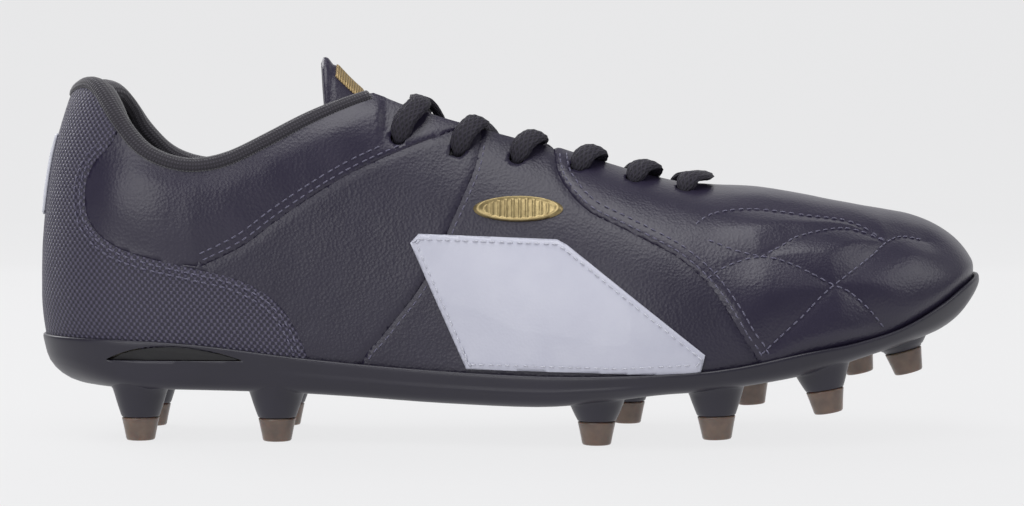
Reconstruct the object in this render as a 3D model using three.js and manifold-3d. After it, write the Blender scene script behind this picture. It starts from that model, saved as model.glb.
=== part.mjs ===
// Soccer cleat, right foot: a leather-style upper on a moulded stud plate.
// Millimetres, +Z up, +X towards the toe, -Y the outer (lateral) side of the foot.
import * as THREE from 'three';
import { mergeVertices } from 'three/addons/utils/BufferGeometryUtils.js';
import Module from 'manifold-3d';

const wasm = await Module();
wasm.setup();

// ---- Driving dimensions ----
const SHOE_LENGTH = 290.6;      // heel to toe, at the fullest height of the upper
const DRAWN_LENGTH = 290.6;     // the length that every place along the shoe below is drawn for
const WIDTH_SCALE = 1;          // widens or narrows the whole shoe
const GAP = 0.3;                // clearance between touching pieces

const SHELL = 1.4;              // outer panels
const HEEL_COVER_RISE = 0.7;    // how far the woven heel cover stands proud of the other panels
const SADDLE = 0.9;             // white saddle panels, laid on the quarters
const STIFFENER = 1.2;          // heel counter and toe puff boards
const COLLAR_PADDING = 3;       // extra foam round the ankle
const LINING = 0.9;             // inner lining
const BINDING_WIDTH = 6;        // rolled collar edge, across the wall
const BINDING_HEIGHT = 3.4;
const SEAM = 0.6;               // gap between panels that meet edge to edge

const PLATE_FLOOR = 3;          // plate thickness under the foot
const PLATE_RIM = 1.6;          // wall of the plate round the upper
const BOARD = 1.6;              // insole board
const SOCKLINER = 4;            // removable foam sockliner
const SOCKLINER_FIT = 0.6;      // room between the sockliner and the lining

const THROAT_HALF_FRONT = 11;   // half width of the lace opening at the toe end
const THROAT_HALF_BACK = 14.5;  // half width of the lace opening at the ankle
const THROAT_END = 61;          // x of the front of the lace opening

const TONGUE_HALF = 17.5;        // half width of the tongue
const TONGUE_SKIN = 1.1;
const TONGUE_PAD = 3;
const TONGUE_BACKING = 0.9;
const TONGUE_ROOT = 57;         // x of the stitched base, where the tongue swings
const TONGUE_BASE_FRONT = 72;   // x of the front of the strip sewn under the vamp
const TONGUE_FOLD = -42;        // x of the seam where the free top of the tongue folds
const TONGUE_FOLD_GAP = 3;      // room for the fold
const TONGUE_FOLD_SWEEP = 5;    // extra room at the sides, which hang lower than the fold's axis
const TONGUE_TIP = -60;

const LACE_RADIUS = 1.5;
const LACE_CLEARANCE = 0.8;     // from the lace to what it passes over or under
const LACE_ROOM = 2.3;          // between lining and tongue, beyond the lace's own thickness
const EYELET_RADIUS = LACE_RADIUS + 2.1;
// From the outside of the upper down to the top of the tongue.
const TONGUE_DEPTH = SHELL + 2 * GAP + STIFFENER + LINING + 2 * LACE_RADIUS + LACE_ROOM;
const EYELET_INSET = 8;         // from the throat edge to the eyelet centres
const AGLET_RADIUS = 1.6;
const AGLET_LENGTH = 10;

const STUD_BASE_RADIUS = 8.8;
const STUD_NECK_RADIUS = 5.9;
const TIP_TOP_RADIUS = 5.7;
const TIP_FOOT_RADIUS = 4.4;
const TIP_HEIGHT = 7;

const COLUMNS = 18;             // facets along each side of the last
const ROWS = 9;                 // facets from the sole edge to the crown

// ---- The last: the outside surface of the upper ----
// Hand-set stations along the foot: [x, value], eased between neighbours.
const HALF = DRAWN_LENGTH / 2;
const LATERAL_HALF = [[-145, 33], [-100, 34], [-60, 34], [-20, 37], [15, 45], [45, 50], [75, 50],
  [100, 47], [145, 40]];
const MEDIAL_HALF = [[-145, 33], [-100, 33.5], [-60, 32], [-20, 31], [10, 35], [40, 42], [65, 46.5],
  [90, 47], [145, 42]];
const CENTRE_LINE = [[-145, 0], [40, 0], [90, 2], [145, 5]];
const BASE_HEIGHT = [[-145, 14], [-60, 12.5], [-20, 9.5], [15, 8.8], [45, 13], [80, 17.5], [109, 25.5], [145, 36]];
const CROWN_HEIGHT = [[-97, 141], [-78, 136], [-57, 126], [-40, 115], [-20, 105], [-2, 97.5], [13, 92],
  [29, 86.5], [42, 82], [56, 78.5], [67, 77], [78, 75.6], [90, 73.6], [105, 70.6], [117, 68.4]];
const BELLY = [[-145, 0.25], [-60, 0.2], [20, 0.17], [80, 0.2], [120, 0.3], [145, 0.36]];
const FULLNESS = [[-145, 2.15], [-40, 2.5], [20, 2.25], [80, 2.2], [125, 2], [145, 1.85]];
const TUCK = [[-145, 0.86], [-100, 0.9], [0, 0.9], [100, 0.9], [145, 0.88]];
const CROWN_BACK = -97;
const CROWN_FRONT = 117;
const HEEL_ROUND = 42;
const TOE_ROUND = 64;
const CROWN_SIDE_SHIFT = [[-97, 0], [-60, -1], [-20, -2.5], [15, -2], [40, 0], [90, 3], [117, 5]];

function along(stations, x) {
  const scaled = x * 145.3 / HALF;
  if (scaled <= stations[0][0]) return stations[0][1];
  for (let i = 1; i < stations.length; i++) {
    const [x1, v1] = stations[i];
    if (scaled > x1) continue;
    const [x0, v0] = stations[i - 1];
    const before = stations[i - 2] ?? stations[i - 1];
    const after = stations[i + 1] ?? stations[i];
    const slope0 = (v1 - before[1]) / (x1 - before[0]) * (x1 - x0);
    const slope1 = (after[1] - v0) / (after[0] - x0) * (x1 - x0);
    const k = (scaled - x0) / (x1 - x0);
    const k2 = k * k;
    const k3 = k2 * k;
    return (2 * k3 - 3 * k2 + 1) * v0 + (k3 - 2 * k2 + k) * slope0 + (3 * k2 - 2 * k3) * v1 + (k3 - k2) * slope1;
  }
  return stations.at(-1)[1];
}

function endRounding(x) {
  const back = Math.max(0, (HEEL_ROUND - (x + HALF)) / HEEL_ROUND);
  const front = Math.max(0, (TOE_ROUND - (HALF - x)) / TOE_ROUND);
  return Math.pow(Math.max(0, 1 - Math.pow(back, 2.3)), 1 / 2.3)
    * Math.pow(Math.max(0, 1 - Math.pow(front, 2.15)), 1 / 2.15);
}

// A point on the last. turn runs 0..1 along the lateral side from heel to toe and
// 1..2 back along the medial side; rise runs 0 at the sole edge to 1 at the crown.
function lastPoint(turn, rise) {
  const t = ((turn % 2) + 2) % 2;
  const side = t <= 1 ? -1 : 1;
  const station = t <= 1 ? t : 2 - t;
  const x = -HALF * Math.cos(Math.PI * station);
  const halfWidth = along(side < 0 ? LATERAL_HALF : MEDIAL_HALF, x) * endRounding(x);
  const footY = along(CENTRE_LINE, x) + side * halfWidth;
  const crownX = CROWN_BACK + (x + HALF) / DRAWN_LENGTH * (CROWN_FRONT - CROWN_BACK);
  const crownY = along(CROWN_SIDE_SHIFT, crownX);
  const low = along(BASE_HEIGHT, x);
  const high = along(CROWN_HEIGHT, crownX);
  const belly = along(BELLY, x);
  const full = along(FULLNESS, x);
  const tuck = along(TUCK, x);
  const lowShare = 0.2;
  let height = belly * rise / lowShare;
  let reach = 1 - (1 - tuck) * Math.pow((belly - height) / belly, 2);
  if (rise > lowShare) {
    const angle = (rise - lowShare) / (1 - lowShare) * Math.PI / 2;
    height = belly + (1 - belly) * Math.pow(Math.sin(angle), 2 / full);
    reach = Math.pow(Math.max(0, Math.cos(angle)), 2 / full);
  }
  return new THREE.Vector3(
    crownX + reach * (x - crownX),
    crownY + reach * (footY - crownY),
    low + height * (high - low));
}

function lastNormal(turn, rise) {
  const step = 0.004;
  if (rise > 1 - step) {
    const here = lastNormal(turn, 1 - step * 1.01);
    const across = lastNormal(2 - turn, 1 - step * 1.01);
    return here.add(across).normalize();
  }
  const alongFoot = lastPoint(turn + step, rise).sub(lastPoint(turn - step, rise));
  const upward = lastPoint(turn, rise + step).sub(lastPoint(turn, Math.max(0, rise - step)));
  return alongFoot.cross(upward).normalize();
}

function offsetPoint(turn, rise, offset) {
  const point = lastPoint(turn, rise);
  const distance = typeof offset === 'function' ? offset(point) : offset;
  return point.addScaledVector(lastNormal(turn, rise), distance);
}

// Finds the place on one side of the last that is seen at x, y from above.
function placeFromAbove(x, y, side) {
  let best = { turn: 0, rise: 0.9, miss: Infinity };
  for (let s = 0.1; s < 0.96; s += 0.004) {
    for (let rise = 0.5; rise < 1; rise += 0.01) {
      const turn = side < 0 ? s : 2 - s;
      const p = lastPoint(turn, rise);
      const miss = Math.hypot(p.x - x, p.y - y);
      if (miss < best.miss) best = { turn, rise, miss };
    }
  }
  return best;
}

// ---- Solids ----
function solidFrom(positions, indices) {
  const geometry = new THREE.BufferGeometry();
  geometry.setAttribute('position', new THREE.Float32BufferAttribute(positions, 3));
  geometry.setIndex(indices);
  return toSolid(geometry);
}

function toSolid(geometry) {
  const bare = geometry.clone();
  bare.deleteAttribute('normal');
  bare.deleteAttribute('uv');
  const merged = mergeVertices(bare, 1e-4);
  return new wasm.Manifold(new wasm.Mesh({
    numProp: 3,
    vertProperties: Float32Array.from(merged.attributes.position.array),
    triVerts: Uint32Array.from(merged.index.array),
  }));
}

// The whole last grown or shrunk by an offset, as one closed solid.
function lastSolid(offset) {
  const positions = [];
  const indices = [];
  const around = COLUMNS * 2;
  for (let j = 0; j < ROWS; j++) {
    for (let i = 0; i < around; i++) positions.push(...offsetPoint(i / COLUMNS, j / ROWS, offset).toArray());
  }
  const crownStart = ROWS * around;
  for (let i = 0; i <= COLUMNS; i++) positions.push(...offsetPoint(i / COLUMNS, 1, offset).toArray());
  const crown = (i) => crownStart + (i <= COLUMNS ? i : around - i);
  for (let i = 0; i < around; i++) {
    const next = (i + 1) % around;
    for (let j = 0; j < ROWS - 1; j++) {
      const a = j * around + i;
      const b = j * around + next;
      indices.push(a, b, b + around, a, b + around, a + around);
    }
    const a = (ROWS - 1) * around + i;
    const b = (ROWS - 1) * around + next;
    indices.push(a, b, crown(i + 1), a, crown(i + 1), crown(i));
  }
  for (let i = 0; i < COLUMNS; i++) {
    const lateral = i;
    const lateralNext = i + 1;
    const medial = (around - i) % around;
    const medialNext = around - i - 1;
    if (i === 0) indices.push(lateral, medialNext, lateralNext);
    else if (i === COLUMNS - 1) indices.push(lateral, medial, lateralNext);
    else indices.push(lateral, medial, medialNext, lateral, medialNext, lateralNext);
  }
  return solidFrom(positions, indices);
}

function pathShape(points) {
  return new THREE.Shape(points.map(([x, z]) => new THREE.Vector2(x, z)));
}

// A smooth line through hand-set points, as short chords.
function smooth(points, chords = 3) {
  const curve = new THREE.SplineCurve(points.map(([x, z]) => new THREE.Vector2(x, z)));
  return curve.getPoints((points.length - 1) * chords).map((p) => [p.x, p.y]);
}

// A cutter whose outline is drawn in side view and pushed across the shoe from y0 to y1.
function sideCutter(outline, y0 = -90, y1 = 90) {
  const geometry = new THREE.ExtrudeGeometry(pathShape(outline), { depth: y1 - y0, bevelEnabled: false });
  geometry.rotateX(Math.PI / 2);
  geometry.translate(0, y1, 0);
  return toSolid(geometry);
}

// A cutter whose outline is drawn in plan view and pushed upwards from z0 to z1.
function planCutter(outline, z0, z1) {
  const geometry = new THREE.ExtrudeGeometry(pathShape(outline), { depth: z1 - z0, bevelEnabled: false });
  geometry.translate(0, 0, z0);
  return toSolid(geometry);
}

const shoe = new THREE.Group();

function addPiece(name, solid, color, roughness, metalness = 0) {
  const mesh = solid.getMesh();
  const geometry = new THREE.BufferGeometry();
  geometry.setAttribute('position', new THREE.BufferAttribute(Float32Array.from(mesh.vertProperties), 3));
  geometry.setIndex(new THREE.BufferAttribute(Uint32Array.from(mesh.triVerts), 1));
  geometry.scale(SHOE_LENGTH / DRAWN_LENGTH, WIDTH_SCALE, 1);
  geometry.computeVertexNormals();
  const material = new THREE.MeshStandardMaterial({ color, roughness, metalness });
  const piece = new THREE.Mesh(geometry, material);
  piece.name = name;
  shoe.add(piece);
  return piece;
}

// ---- Lines of the shoe, in side view ----
const FAR = 400;
// Underside of the plate between the studs.
const PLATE_UNDERSIDE = [[-150, 18], [-139, 17], [-125, 16.2], [-100, 16], [-70, 15.2], [-48, 14], [-20, 12.2],
  [8, 11.6], [26, 13.2], [44, 15.7], [60, 17], [83, 20.4], [96, 23.4], [109, 27], [122, 30.3], [132, 33.4],
  [139, 37.6], [144, 43], [148, 48]];
// Top edge of the plate's rim.
const RIM_EDGE = [[-150, 31.8], [-120, 31.4], [-95, 30], [-63, 26], [-30, 23], [0, 21.6], [26, 21.6], [60, 23.4],
  [87, 28.4], [103, 31], [118, 35], [131, 41.4], [139, 46.4], [148, 51]];
// Top line of the collar, from the heel peak down to the ankle and up to the top eyelets.
const COLLAR_EDGE = [[-150, 101], [-139, 104.6], [-132, 107.8], [-126, 105.6], [-119, 97], [-111, 88.4], [-99, 84.2],
  [-87, 85.4], [-75, 91], [-62, 98], [-50, 103.4], [-41, 106.2], [-30, 107]];

function heightOf(line, x) {
  const next = line.findIndex(([stationX]) => stationX > x);
  const [x0, z0] = line[next - 1];
  const [x1, z1] = line[next];
  return z0 + (x - x0) / (x1 - x0) * (z1 - z0);
}

const raised = (line, height) => line.map(([x, z]) => [x, z + height]);
const above = (line) => [...line, [line.at(-1)[0], FAR], [line[0][0], FAR]];
const below = (line) => [[line[0][0], -50], [line.at(-1)[0], -50], ...[...line].reverse()];
const underside = smooth(PLATE_UNDERSIDE, 1);
const rim = smooth(RIM_EDGE, 2);
const collar = smooth(COLLAR_EDGE, 2);

// Everything above the collar line, back from the top eyelets.
const ankleOpening = sideCutter([...collar, [-30, FAR], [-150, FAR]]);

// The lace opening, seen from above: a long U, narrow towards the toe.
function throatOutline(growth) {
  const front = THROAT_HALF_FRONT + growth;
  const back = THROAT_HALF_BACK + growth;
  const arcX = THROAT_END - THROAT_HALF_FRONT;
  const points = [[-80, -back], [-35, -back]];
  for (let i = 0; i <= 8; i++) {
    const angle = -Math.PI / 2 + i / 8 * Math.PI;
    points.push([arcX + Math.cos(angle) * front, Math.sin(angle) * front]);
  }
  points.push([-35, back], [-80, back]);
  return points.map(([x, y]) => [x, y + along(CROWN_SIDE_SHIFT, x)]);
}
const throat = planCutter(throatOutline(0), 40, FAR);

// ---- Stud plate ----
const plateOutside = lastSolid(GAP + PLATE_RIM);
const plateInside = lastSolid(GAP);
const floorLine = raised(underside, PLATE_FLOOR);
let plate = plateOutside.intersect(sideCutter([...underside, ...[...rim].reverse()]));
plate = plate.subtract(plateInside.intersect(sideCutter(above(floorLine))));

// The heel wall has an eye-shaped window on each side with a cushion pad behind it.
function eyeOutline(shrink) {
  const [back, front, low, high] = [-122 + 5 * shrink, -81 - 5 * shrink, 25 + shrink, 29.3 - shrink];
  const middle = (back + front) / 2;
  const upper = new THREE.QuadraticBezierCurve(new THREE.Vector2(front, low + 0.4),
    new THREE.Vector2(middle - 4, 2 * high - low), new THREE.Vector2(back, low + 0.4));
  return [[back, low], [front, low], ...upper.getPoints(10).map((p) => [p.x, p.y]).slice(0, -1)];
}
plate = plate.subtract(sideCutter(eyeOutline(0)));
const cushionShell = lastSolid(GAP + 1.2).subtract(plateInside);
for (const [label, y0, y1] of [['lateral', -90, 0], ['medial', 0, 90]]) {
  addPiece(`heel_cushion_${label}`, cushionShell.intersect(sideCutter(eyeOutline(GAP), y0, y1)), '#17161c', 0.7);
}

// Studs: [name, x, y, z of the foot of the tip, forward tilt in degrees]
const STUDS = [
  ['heel_rear_lateral', -113, -22, 0, 0],
  ['heel_front_lateral', -71, -25, 0, 0],
  ['ball_rear_lateral', 26, -36, 0, 0],
  ['ball_middle_lateral', 62, -39, 2, -2],
  ['ball_front_lateral', 96, -34, 9.5, -10],
  ['toe_lateral', 123, -14, 20, -15],
  ['heel_rear_medial', -115, 22, 0, 0],
  ['heel_front_medial', -72, 23, 0, 0],
  ['ball_rear_medial', 38, 29, 0, 0],
  ['ball_middle_medial', 79, 36, 5.4, -4],
  ['toe_medial', 113, 25, 16.6, -13],
];
for (const [name, x, y, footZ, tilt] of STUDS) {
  const place = new THREE.Matrix4().makeTranslation(x, y, footZ)
    .multiply(new THREE.Matrix4().makeRotationY(THREE.MathUtils.degToRad(tilt)));
  const rootZ = heightOf(PLATE_UNDERSIDE, x) + 1.8 - footZ;
  const neckZ = TIP_HEIGHT + GAP;
  const cone = new THREE.LatheGeometry([
    new THREE.Vector2(0, neckZ),
    new THREE.Vector2(STUD_NECK_RADIUS, neckZ),
    new THREE.Vector2(STUD_NECK_RADIUS + 0.9, neckZ + (rootZ - neckZ) * 0.55),
    new THREE.Vector2(STUD_BASE_RADIUS, rootZ),
    new THREE.Vector2(0, rootZ),
  ], 20);
  cone.rotateX(Math.PI / 2);
  cone.applyMatrix4(place);
  plate = plate.add(toSolid(cone));
  const tip = new THREE.LatheGeometry([
    new THREE.Vector2(0, 0),
    new THREE.Vector2(TIP_FOOT_RADIUS - 0.5, 0),
    new THREE.Vector2(TIP_FOOT_RADIUS, 0.5),
    new THREE.Vector2(TIP_TOP_RADIUS, TIP_HEIGHT),
    new THREE.Vector2(0, TIP_HEIGHT),
  ], 20);
  tip.rotateX(Math.PI / 2);
  tip.applyMatrix4(place);
  addPiece(`stud_tip_${name}`, toSolid(tip), '#86705f', 0.35, 0.3);
}
addPiece('stud_plate', plate, '#1f1e27', 0.42);


// ---- Upper: one outer shell cut into panels that meet edge to edge ----
const upperFoot = raised(underside, PLATE_FLOOR + 0.6);
const upperRegion = sideCutter(above(upperFoot));
const trim = (solid) => solid.intersect(upperRegion).subtract(ankleOpening).subtract(throat);
const lastSkin = lastSolid(0);
const shellInside = lastSolid(-SHELL);

// Eyelets: centres along each side of the lace opening, from the toe end to the ankle.
const EYELET_X = [53, 37.5, 20.5, 2, -16, -34];
const THROAT_WIDEST_X = -35;
const THROAT_NARROWEST_X = 50;
function throatHalf(x) {
  const half = THREE.MathUtils.mapLinear(x, THROAT_NARROWEST_X, THROAT_WIDEST_X, THROAT_HALF_FRONT,
    THROAT_HALF_BACK);
  return THREE.MathUtils.clamp(half, THROAT_HALF_FRONT, THROAT_HALF_BACK);
}
function eyelet(x, side) {
  return placeFromAbove(x, along(CROWN_SIDE_SHIFT, x) + side * (throatHalf(x) + EYELET_INSET), side);
}
let eyeletDrill = null;
for (const side of [-1, 1]) {
  for (const x of EYELET_X) {
    const place = eyelet(x, side);
    const centre = lastPoint(place.turn, place.rise);
    const normal = lastNormal(place.turn, place.rise);
    const drill = new THREE.CylinderGeometry(EYELET_RADIUS, EYELET_RADIUS, 16, 8);
    drill.applyQuaternion(new THREE.Quaternion().setFromUnitVectors(new THREE.Vector3(0, 1, 0), normal));
    drill.translate(centre.x, centre.y, centre.z);
    eyeletDrill = eyeletDrill ? eyeletDrill.add(toSolid(drill)) : toSolid(drill);
  }
}

// Seams in side view, each from its lowest point to its highest.
const VAMP_SEAM = [[77, 14], [73, 27], [69, 33], [64, 41.5], [58, 49.5], [50, 56.5], [42, 61], [33, 65.5],
  [24, 70], [17.5, 76.5], [14, 84], [13, 100]];
const QUARTER_SEAM = [[-48, 14], [-44, 26], [-39, 32], [-33, 39.5], [-28, 46], [-22, 56], [-18, 66], [-14, 75],
  [-10, 86], [-8, 104]];
const COLLAR_SEAM = [[-92, 54], [-80, 60], [-68, 69], [-50, 80.5], [-33, 88.5], [-20, 93.5], [-9, 97]];
const HEEL_COVER_EDGE = [[-58, 14], [-61, 26], [-66, 37], [-72, 44], [-82, 49.5], [-96, 53], [-111, 56.5],
  [-121, 60.5], [-127.5, 67], [-129, 76], [-126.5, 84], [-121, 90], [-118, 97], [-117, 112]];

const shiftX = (line, distance) => line.map(([x, z]) => [x + distance, z]);
const ahead = (line) => [...line, [FAR, line.at(-1)[1]], [FAR, line[0][1]]];
const behind = (line) => [...line, [-FAR, line.at(-1)[1]], [-FAR, line[0][1]]];
const vampSeam = smooth(VAMP_SEAM, 2);
const quarterSeam = smooth(QUARTER_SEAM, 2);
const collarSeam = smooth(COLLAR_SEAM, 2);
const heelSeam = smooth(HEEL_COVER_EDGE, 2);

const outerShell = trim(lastSkin.subtract(shellInside)).subtract(eyeletDrill);
const aheadOfVampSeam = sideCutter(ahead(shiftX(vampSeam, SEAM / 2)));
const aheadOfVampLine = sideCutter(ahead(shiftX(vampSeam, -SEAM / 2)));
const aheadOfQuarterSeam = sideCutter(ahead(shiftX(quarterSeam, SEAM / 2)));
const aheadOfQuarterLine = sideCutter(ahead(shiftX(quarterSeam, -SEAM / 2)));
const heelRegion = sideCutter(behind(heelSeam));
const heelRegionGrown = sideCutter(behind(shiftX(heelSeam, SEAM)));
const collarEnds = [[collarSeam.at(-1)[0], FAR], [-FAR, FAR], [-FAR, collarSeam[0][1]]];
const collarRegion = sideCutter([...collarSeam, ...collarEnds]);
const collarRegionGrown = sideCutter([...raised(collarSeam, -SEAM), ...collarEnds]);

addPiece('vamp', outerShell.intersect(aheadOfVampSeam), '#2c2a36', 0.38);
const quarters = outerShell.subtract(aheadOfVampLine).subtract(heelRegionGrown);
const halves = [['lateral', -90, 0], ['medial', 0, 90]];
for (const [label, y0, y1] of halves) {
  const half = sideCutter([[-200, -50], [200, -50], [200, FAR], [-200, FAR]], y0, y1);
  const ownSide = quarters.intersect(half);
  const front = ownSide.intersect(aheadOfQuarterSeam);
  const rest = ownSide.subtract(aheadOfQuarterLine);
  addPiece(`front_quarter_${label}`, front, '#2a2834', 0.4);
  addPiece(`rear_quarter_${label}`, rest.subtract(collarRegionGrown), '#292733', 0.42);
  addPiece(`collar_panel_${label}`, rest.intersect(collarRegion), '#2b2935', 0.34);
}
const heelShell = trim(lastSolid(HEEL_COVER_RISE).subtract(shellInside));
addPiece('heel_cover', heelShell.intersect(heelRegion)
  .subtract(lastSolid(GAP + PLATE_RIM + 1).intersect(sideCutter(below(raised(rim, GAP)))).subtract(lastSkin)),
'#393744', 0.55);

// Saddle panels: plain four-sided pieces laid on the quarters and held by the plate at the foot.
const SADDLE_OUTLINE = [[-13, 25.4], [-30, 60.5], [-27.5, 63.2], [14, 61.6], [17, 60], [57.5, 28], [56, 25.4]];
const saddleShell = lastSolid(GAP + SADDLE).subtract(lastSolid(GAP));
for (const [label, y0, y1] of halves) {
  addPiece(`saddle_${label}`, saddleShell.intersect(sideCutter(SADDLE_OUTLINE, y0, y1)), '#dcdce8', 0.45);
}

// Oval badge on the lateral quarter, with plain ribs and nothing written on it.
const BADGE = { x: 2.4, z: 70.8, length: 27, height: 7.6, thickness: 0.8 };
const ovalPoints = [];
for (let i = 0; i < 20; i++) {
  const angle = i / 20 * Math.PI * 2;
  ovalPoints.push([BADGE.x + Math.cos(angle) * BADGE.length / 2, BADGE.z + Math.sin(angle) * BADGE.height / 2]);
}
const badgeShell = lastSolid(GAP + BADGE.thickness).subtract(lastSolid(GAP));
addPiece('oval_badge', badgeShell.intersect(sideCutter(ovalPoints, -90, 0)), '#a8925f', 0.4, 0.6);

// Pale pull patch on the back of the heel.
const PATCH_HALF_WIDTH = 8;
const PATCH_LOW = 68;
const PATCH_HIGH = 94;
const patchShell = lastSolid(HEEL_COVER_RISE + GAP + 1).subtract(lastSolid(HEEL_COVER_RISE + GAP));
const patchBlock = sideCutter([[-160, PATCH_LOW], [-120, PATCH_LOW], [-120, PATCH_HIGH], [-160, PATCH_HIGH]],
  -PATCH_HALF_WIDTH, PATCH_HALF_WIDTH);
addPiece('heel_patch', patchShell.intersect(patchBlock), '#cfd0d8', 0.5);

// ---- Layers inside the panels ----
// The padding thickens towards the ankle.
const padding = (point) => COLLAR_PADDING * THREE.MathUtils.smoothstep(point.z, 62, 84)
  * THREE.MathUtils.smoothstep(-point.x, 48, 75);
const innerFace = SHELL + 2 * GAP + STIFFENER;
const stiffenerOutside = lastSolid(-(SHELL + GAP));
const stiffenerInside = lastSolid(-innerFace + GAP);
const boardShell = trim(stiffenerOutside.subtract(stiffenerInside));
addPiece('heel_stiffener', boardShell.intersect(sideCutter([[-160, -50], [-76, -50], [-80, 40], [-98, 58],
  [-122, 66], [-160, 66]])), '#c9c2b4', 0.8);
addPiece('toe_puff', boardShell.intersect(sideCutter([[106, -50], [160, -50], [160, FAR], [100, FAR], [98, 62],
  [112, 40]])), '#c9c2b4', 0.8);
const foamInside = lastSolid((p) => -innerFace + GAP - padding(p));
const foamRegion = sideCutter([[-160, 66.8], [-122, 66.8], [-97, 58.8], [-79, 58], [-66, 67], [-50, 78], [-40, 84],
  [-40, FAR], [-160, FAR]]);
addPiece('collar_foam', trim(stiffenerOutside.subtract(foamInside)).intersect(foamRegion), '#d8cf9a', 0.95);
const liningOutside = lastSolid((p) => -innerFace - padding(p));
const liningInside = lastSolid((p) => -innerFace - LINING - padding(p));
addPiece('lining', trim(liningOutside.subtract(liningInside)).subtract(eyeletDrill), '#1b1a20', 0.9);

// ---- Under the foot ----
const insideRegion = lastSolid((p) => -innerFace - LINING - GAP - padding(p));
const boardBottom = PLATE_FLOOR + GAP;
const boardTop = boardBottom + BOARD;
const band = (low, high) => sideCutter([...raised(underside, low), ...[...raised(underside, high)].reverse()]);
addPiece('insole_board', insideRegion.intersect(band(boardBottom, boardTop)), '#b9a888', 0.85);
const sockRegion = lastSolid((p) => -innerFace - LINING - SOCKLINER_FIT - padding(p));
const sockCut = sideCutter([[-160, -50], [118, -50], [118, FAR], [-160, FAR]]);
addPiece('sockliner', sockRegion.intersect(band(boardTop + GAP, boardTop + GAP + SOCKLINER)).intersect(sockCut),
  '#24232b', 0.9);

// ---- Tongue ----
// Seen from above: widest at the ankle, with rounded corners at the free end.
function tongueOutline(front, back, shrink, rounded) {
  const half = TONGUE_HALF - shrink;
  const corner = rounded ? 10 : 0.5;
  const sweep = rounded ? TONGUE_FOLD_SWEEP : 0;
  const points = rounded
    ? [[front, -half * 0.3], [front - sweep * 0.4, -half * 0.65], [front - sweep, -half]]
    : [[front, -half * 0.8], [back + corner, -half]];
  for (let i = 1; i <= 5; i++) {
    const angle = i / 5 * Math.PI / 2;
    points.push([back + corner * (1 - Math.sin(angle)), -half + corner * (1 - Math.cos(angle))]);
  }
  const mirrored = [...points].reverse().map(([x, y]) => [x, -y]);
  return [...points, ...mirrored].map(([x, y]) => [x, y + along(CROWN_SIDE_SHIFT, x)]);
}
const tongueTopFace = lastSolid(-TONGUE_DEPTH);
const underSkin = TONGUE_DEPTH + TONGUE_SKIN;
const underPad = underSkin + GAP + TONGUE_PAD;
const underBacking = underPad + GAP + TONGUE_BACKING;
const layer = (outer, inner) => lastSolid(-outer).subtract(lastSolid(-inner));
const tongueBack = TONGUE_FOLD + TONGUE_FOLD_GAP / 2;
const aboveTongue = sideCutter(above(raised(CROWN_HEIGHT, -30)));
const tongueCut = (front, back, shrink, rounded) =>
  planCutter(tongueOutline(front, back, shrink, rounded).reverse(), 40, FAR).intersect(aboveTongue);
const tongueBody = tongueCut(TONGUE_ROOT - GAP, tongueBack, 0, false);
addPiece('tongue_face', tongueTopFace.subtract(lastSolid(-underSkin)).intersect(tongueBody), '#2b2933', 0.45);
addPiece('tongue_padding', layer(underSkin + GAP, underPad)
  .intersect(tongueCut(TONGUE_ROOT - 4, tongueBack + 2, 2, false)), '#d8cf9a', 0.95);
addPiece('tongue_backing', layer(underPad + GAP, underBacking)
  .intersect(tongueCut(TONGUE_ROOT - GAP, tongueBack + 1, 0, false)), '#1d1c22', 0.9);
addPiece('tongue_base', layer(TONGUE_DEPTH, underSkin)
  .intersect(tongueCut(TONGUE_BASE_FRONT, TONGUE_ROOT, 0, false)), '#2b2933', 0.5);
addPiece('tongue_top', layer(TONGUE_DEPTH, underBacking)
  .intersect(tongueCut(TONGUE_FOLD - TONGUE_FOLD_GAP / 2, TONGUE_TIP, 0, true)), '#2b2933', 0.5);
const LABEL_LENGTH = 10;
const LABEL_HALF_WIDTH = 8;
const LABEL_SIDE = 1;
const LABEL_THICKNESS = 0.8;
const labelX = TONGUE_FOLD - 9;
const LABEL = [[-1, -1], [1, -1], [1, 1], [-1, 1]].map(([u, v]) => [
  labelX + u * LABEL_LENGTH / 2, LABEL_SIDE + v * LABEL_HALF_WIDTH]);
addPiece('tongue_label', layer(TONGUE_DEPTH - GAP - LABEL_THICKNESS, TONGUE_DEPTH - GAP)
  .intersect(planCutter(LABEL, 40, FAR)), '#a8925f', 0.5, 0.4);

// ---- Collar binding: one padded roll sewn over the cut edge of the collar ----
const wallMiddle = (p) => -(innerFace + LINING + padding(p)) / 2;
function collarHeight(x) {
  if (x >= COLLAR_EDGE.at(-1)[0]) return FAR;
  return heightOf(COLLAR_EDGE, Math.max(x, COLLAR_EDGE[0][0] + 0.01));
}
function collarRise(turn) {
  let [low, high] = [0.25, 0.995];
  for (let i = 0; i < 30; i++) {
    const middle = (low + high) / 2;
    const p = offsetPoint(turn, middle, wallMiddle);
    if (p.z > collarHeight(p.x)) high = middle;
    else low = middle;
  }
  return low;
}
function collarEnd(side) {
  let [low, high] = [0.1, 0.6];
  for (let i = 0; i < 30; i++) {
    const middle = (low + high) / 2;
    const p = offsetPoint(side * -middle, collarRise(side * -middle), wallMiddle);
    const distance = Math.abs(p.y - along(CROWN_SIDE_SHIFT, p.x));
    if (distance < THROAT_HALF_BACK + BINDING_WIDTH / 2 || p.x > -36) high = middle;
    else low = middle;
  }
  return side * -low;
}
const BINDING_STEPS = 44;
const BINDING_SIDES = 8;
const bindingPoints = [];
const [bindingStart, bindingEnd] = [collarEnd(1), collarEnd(-1)];
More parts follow.
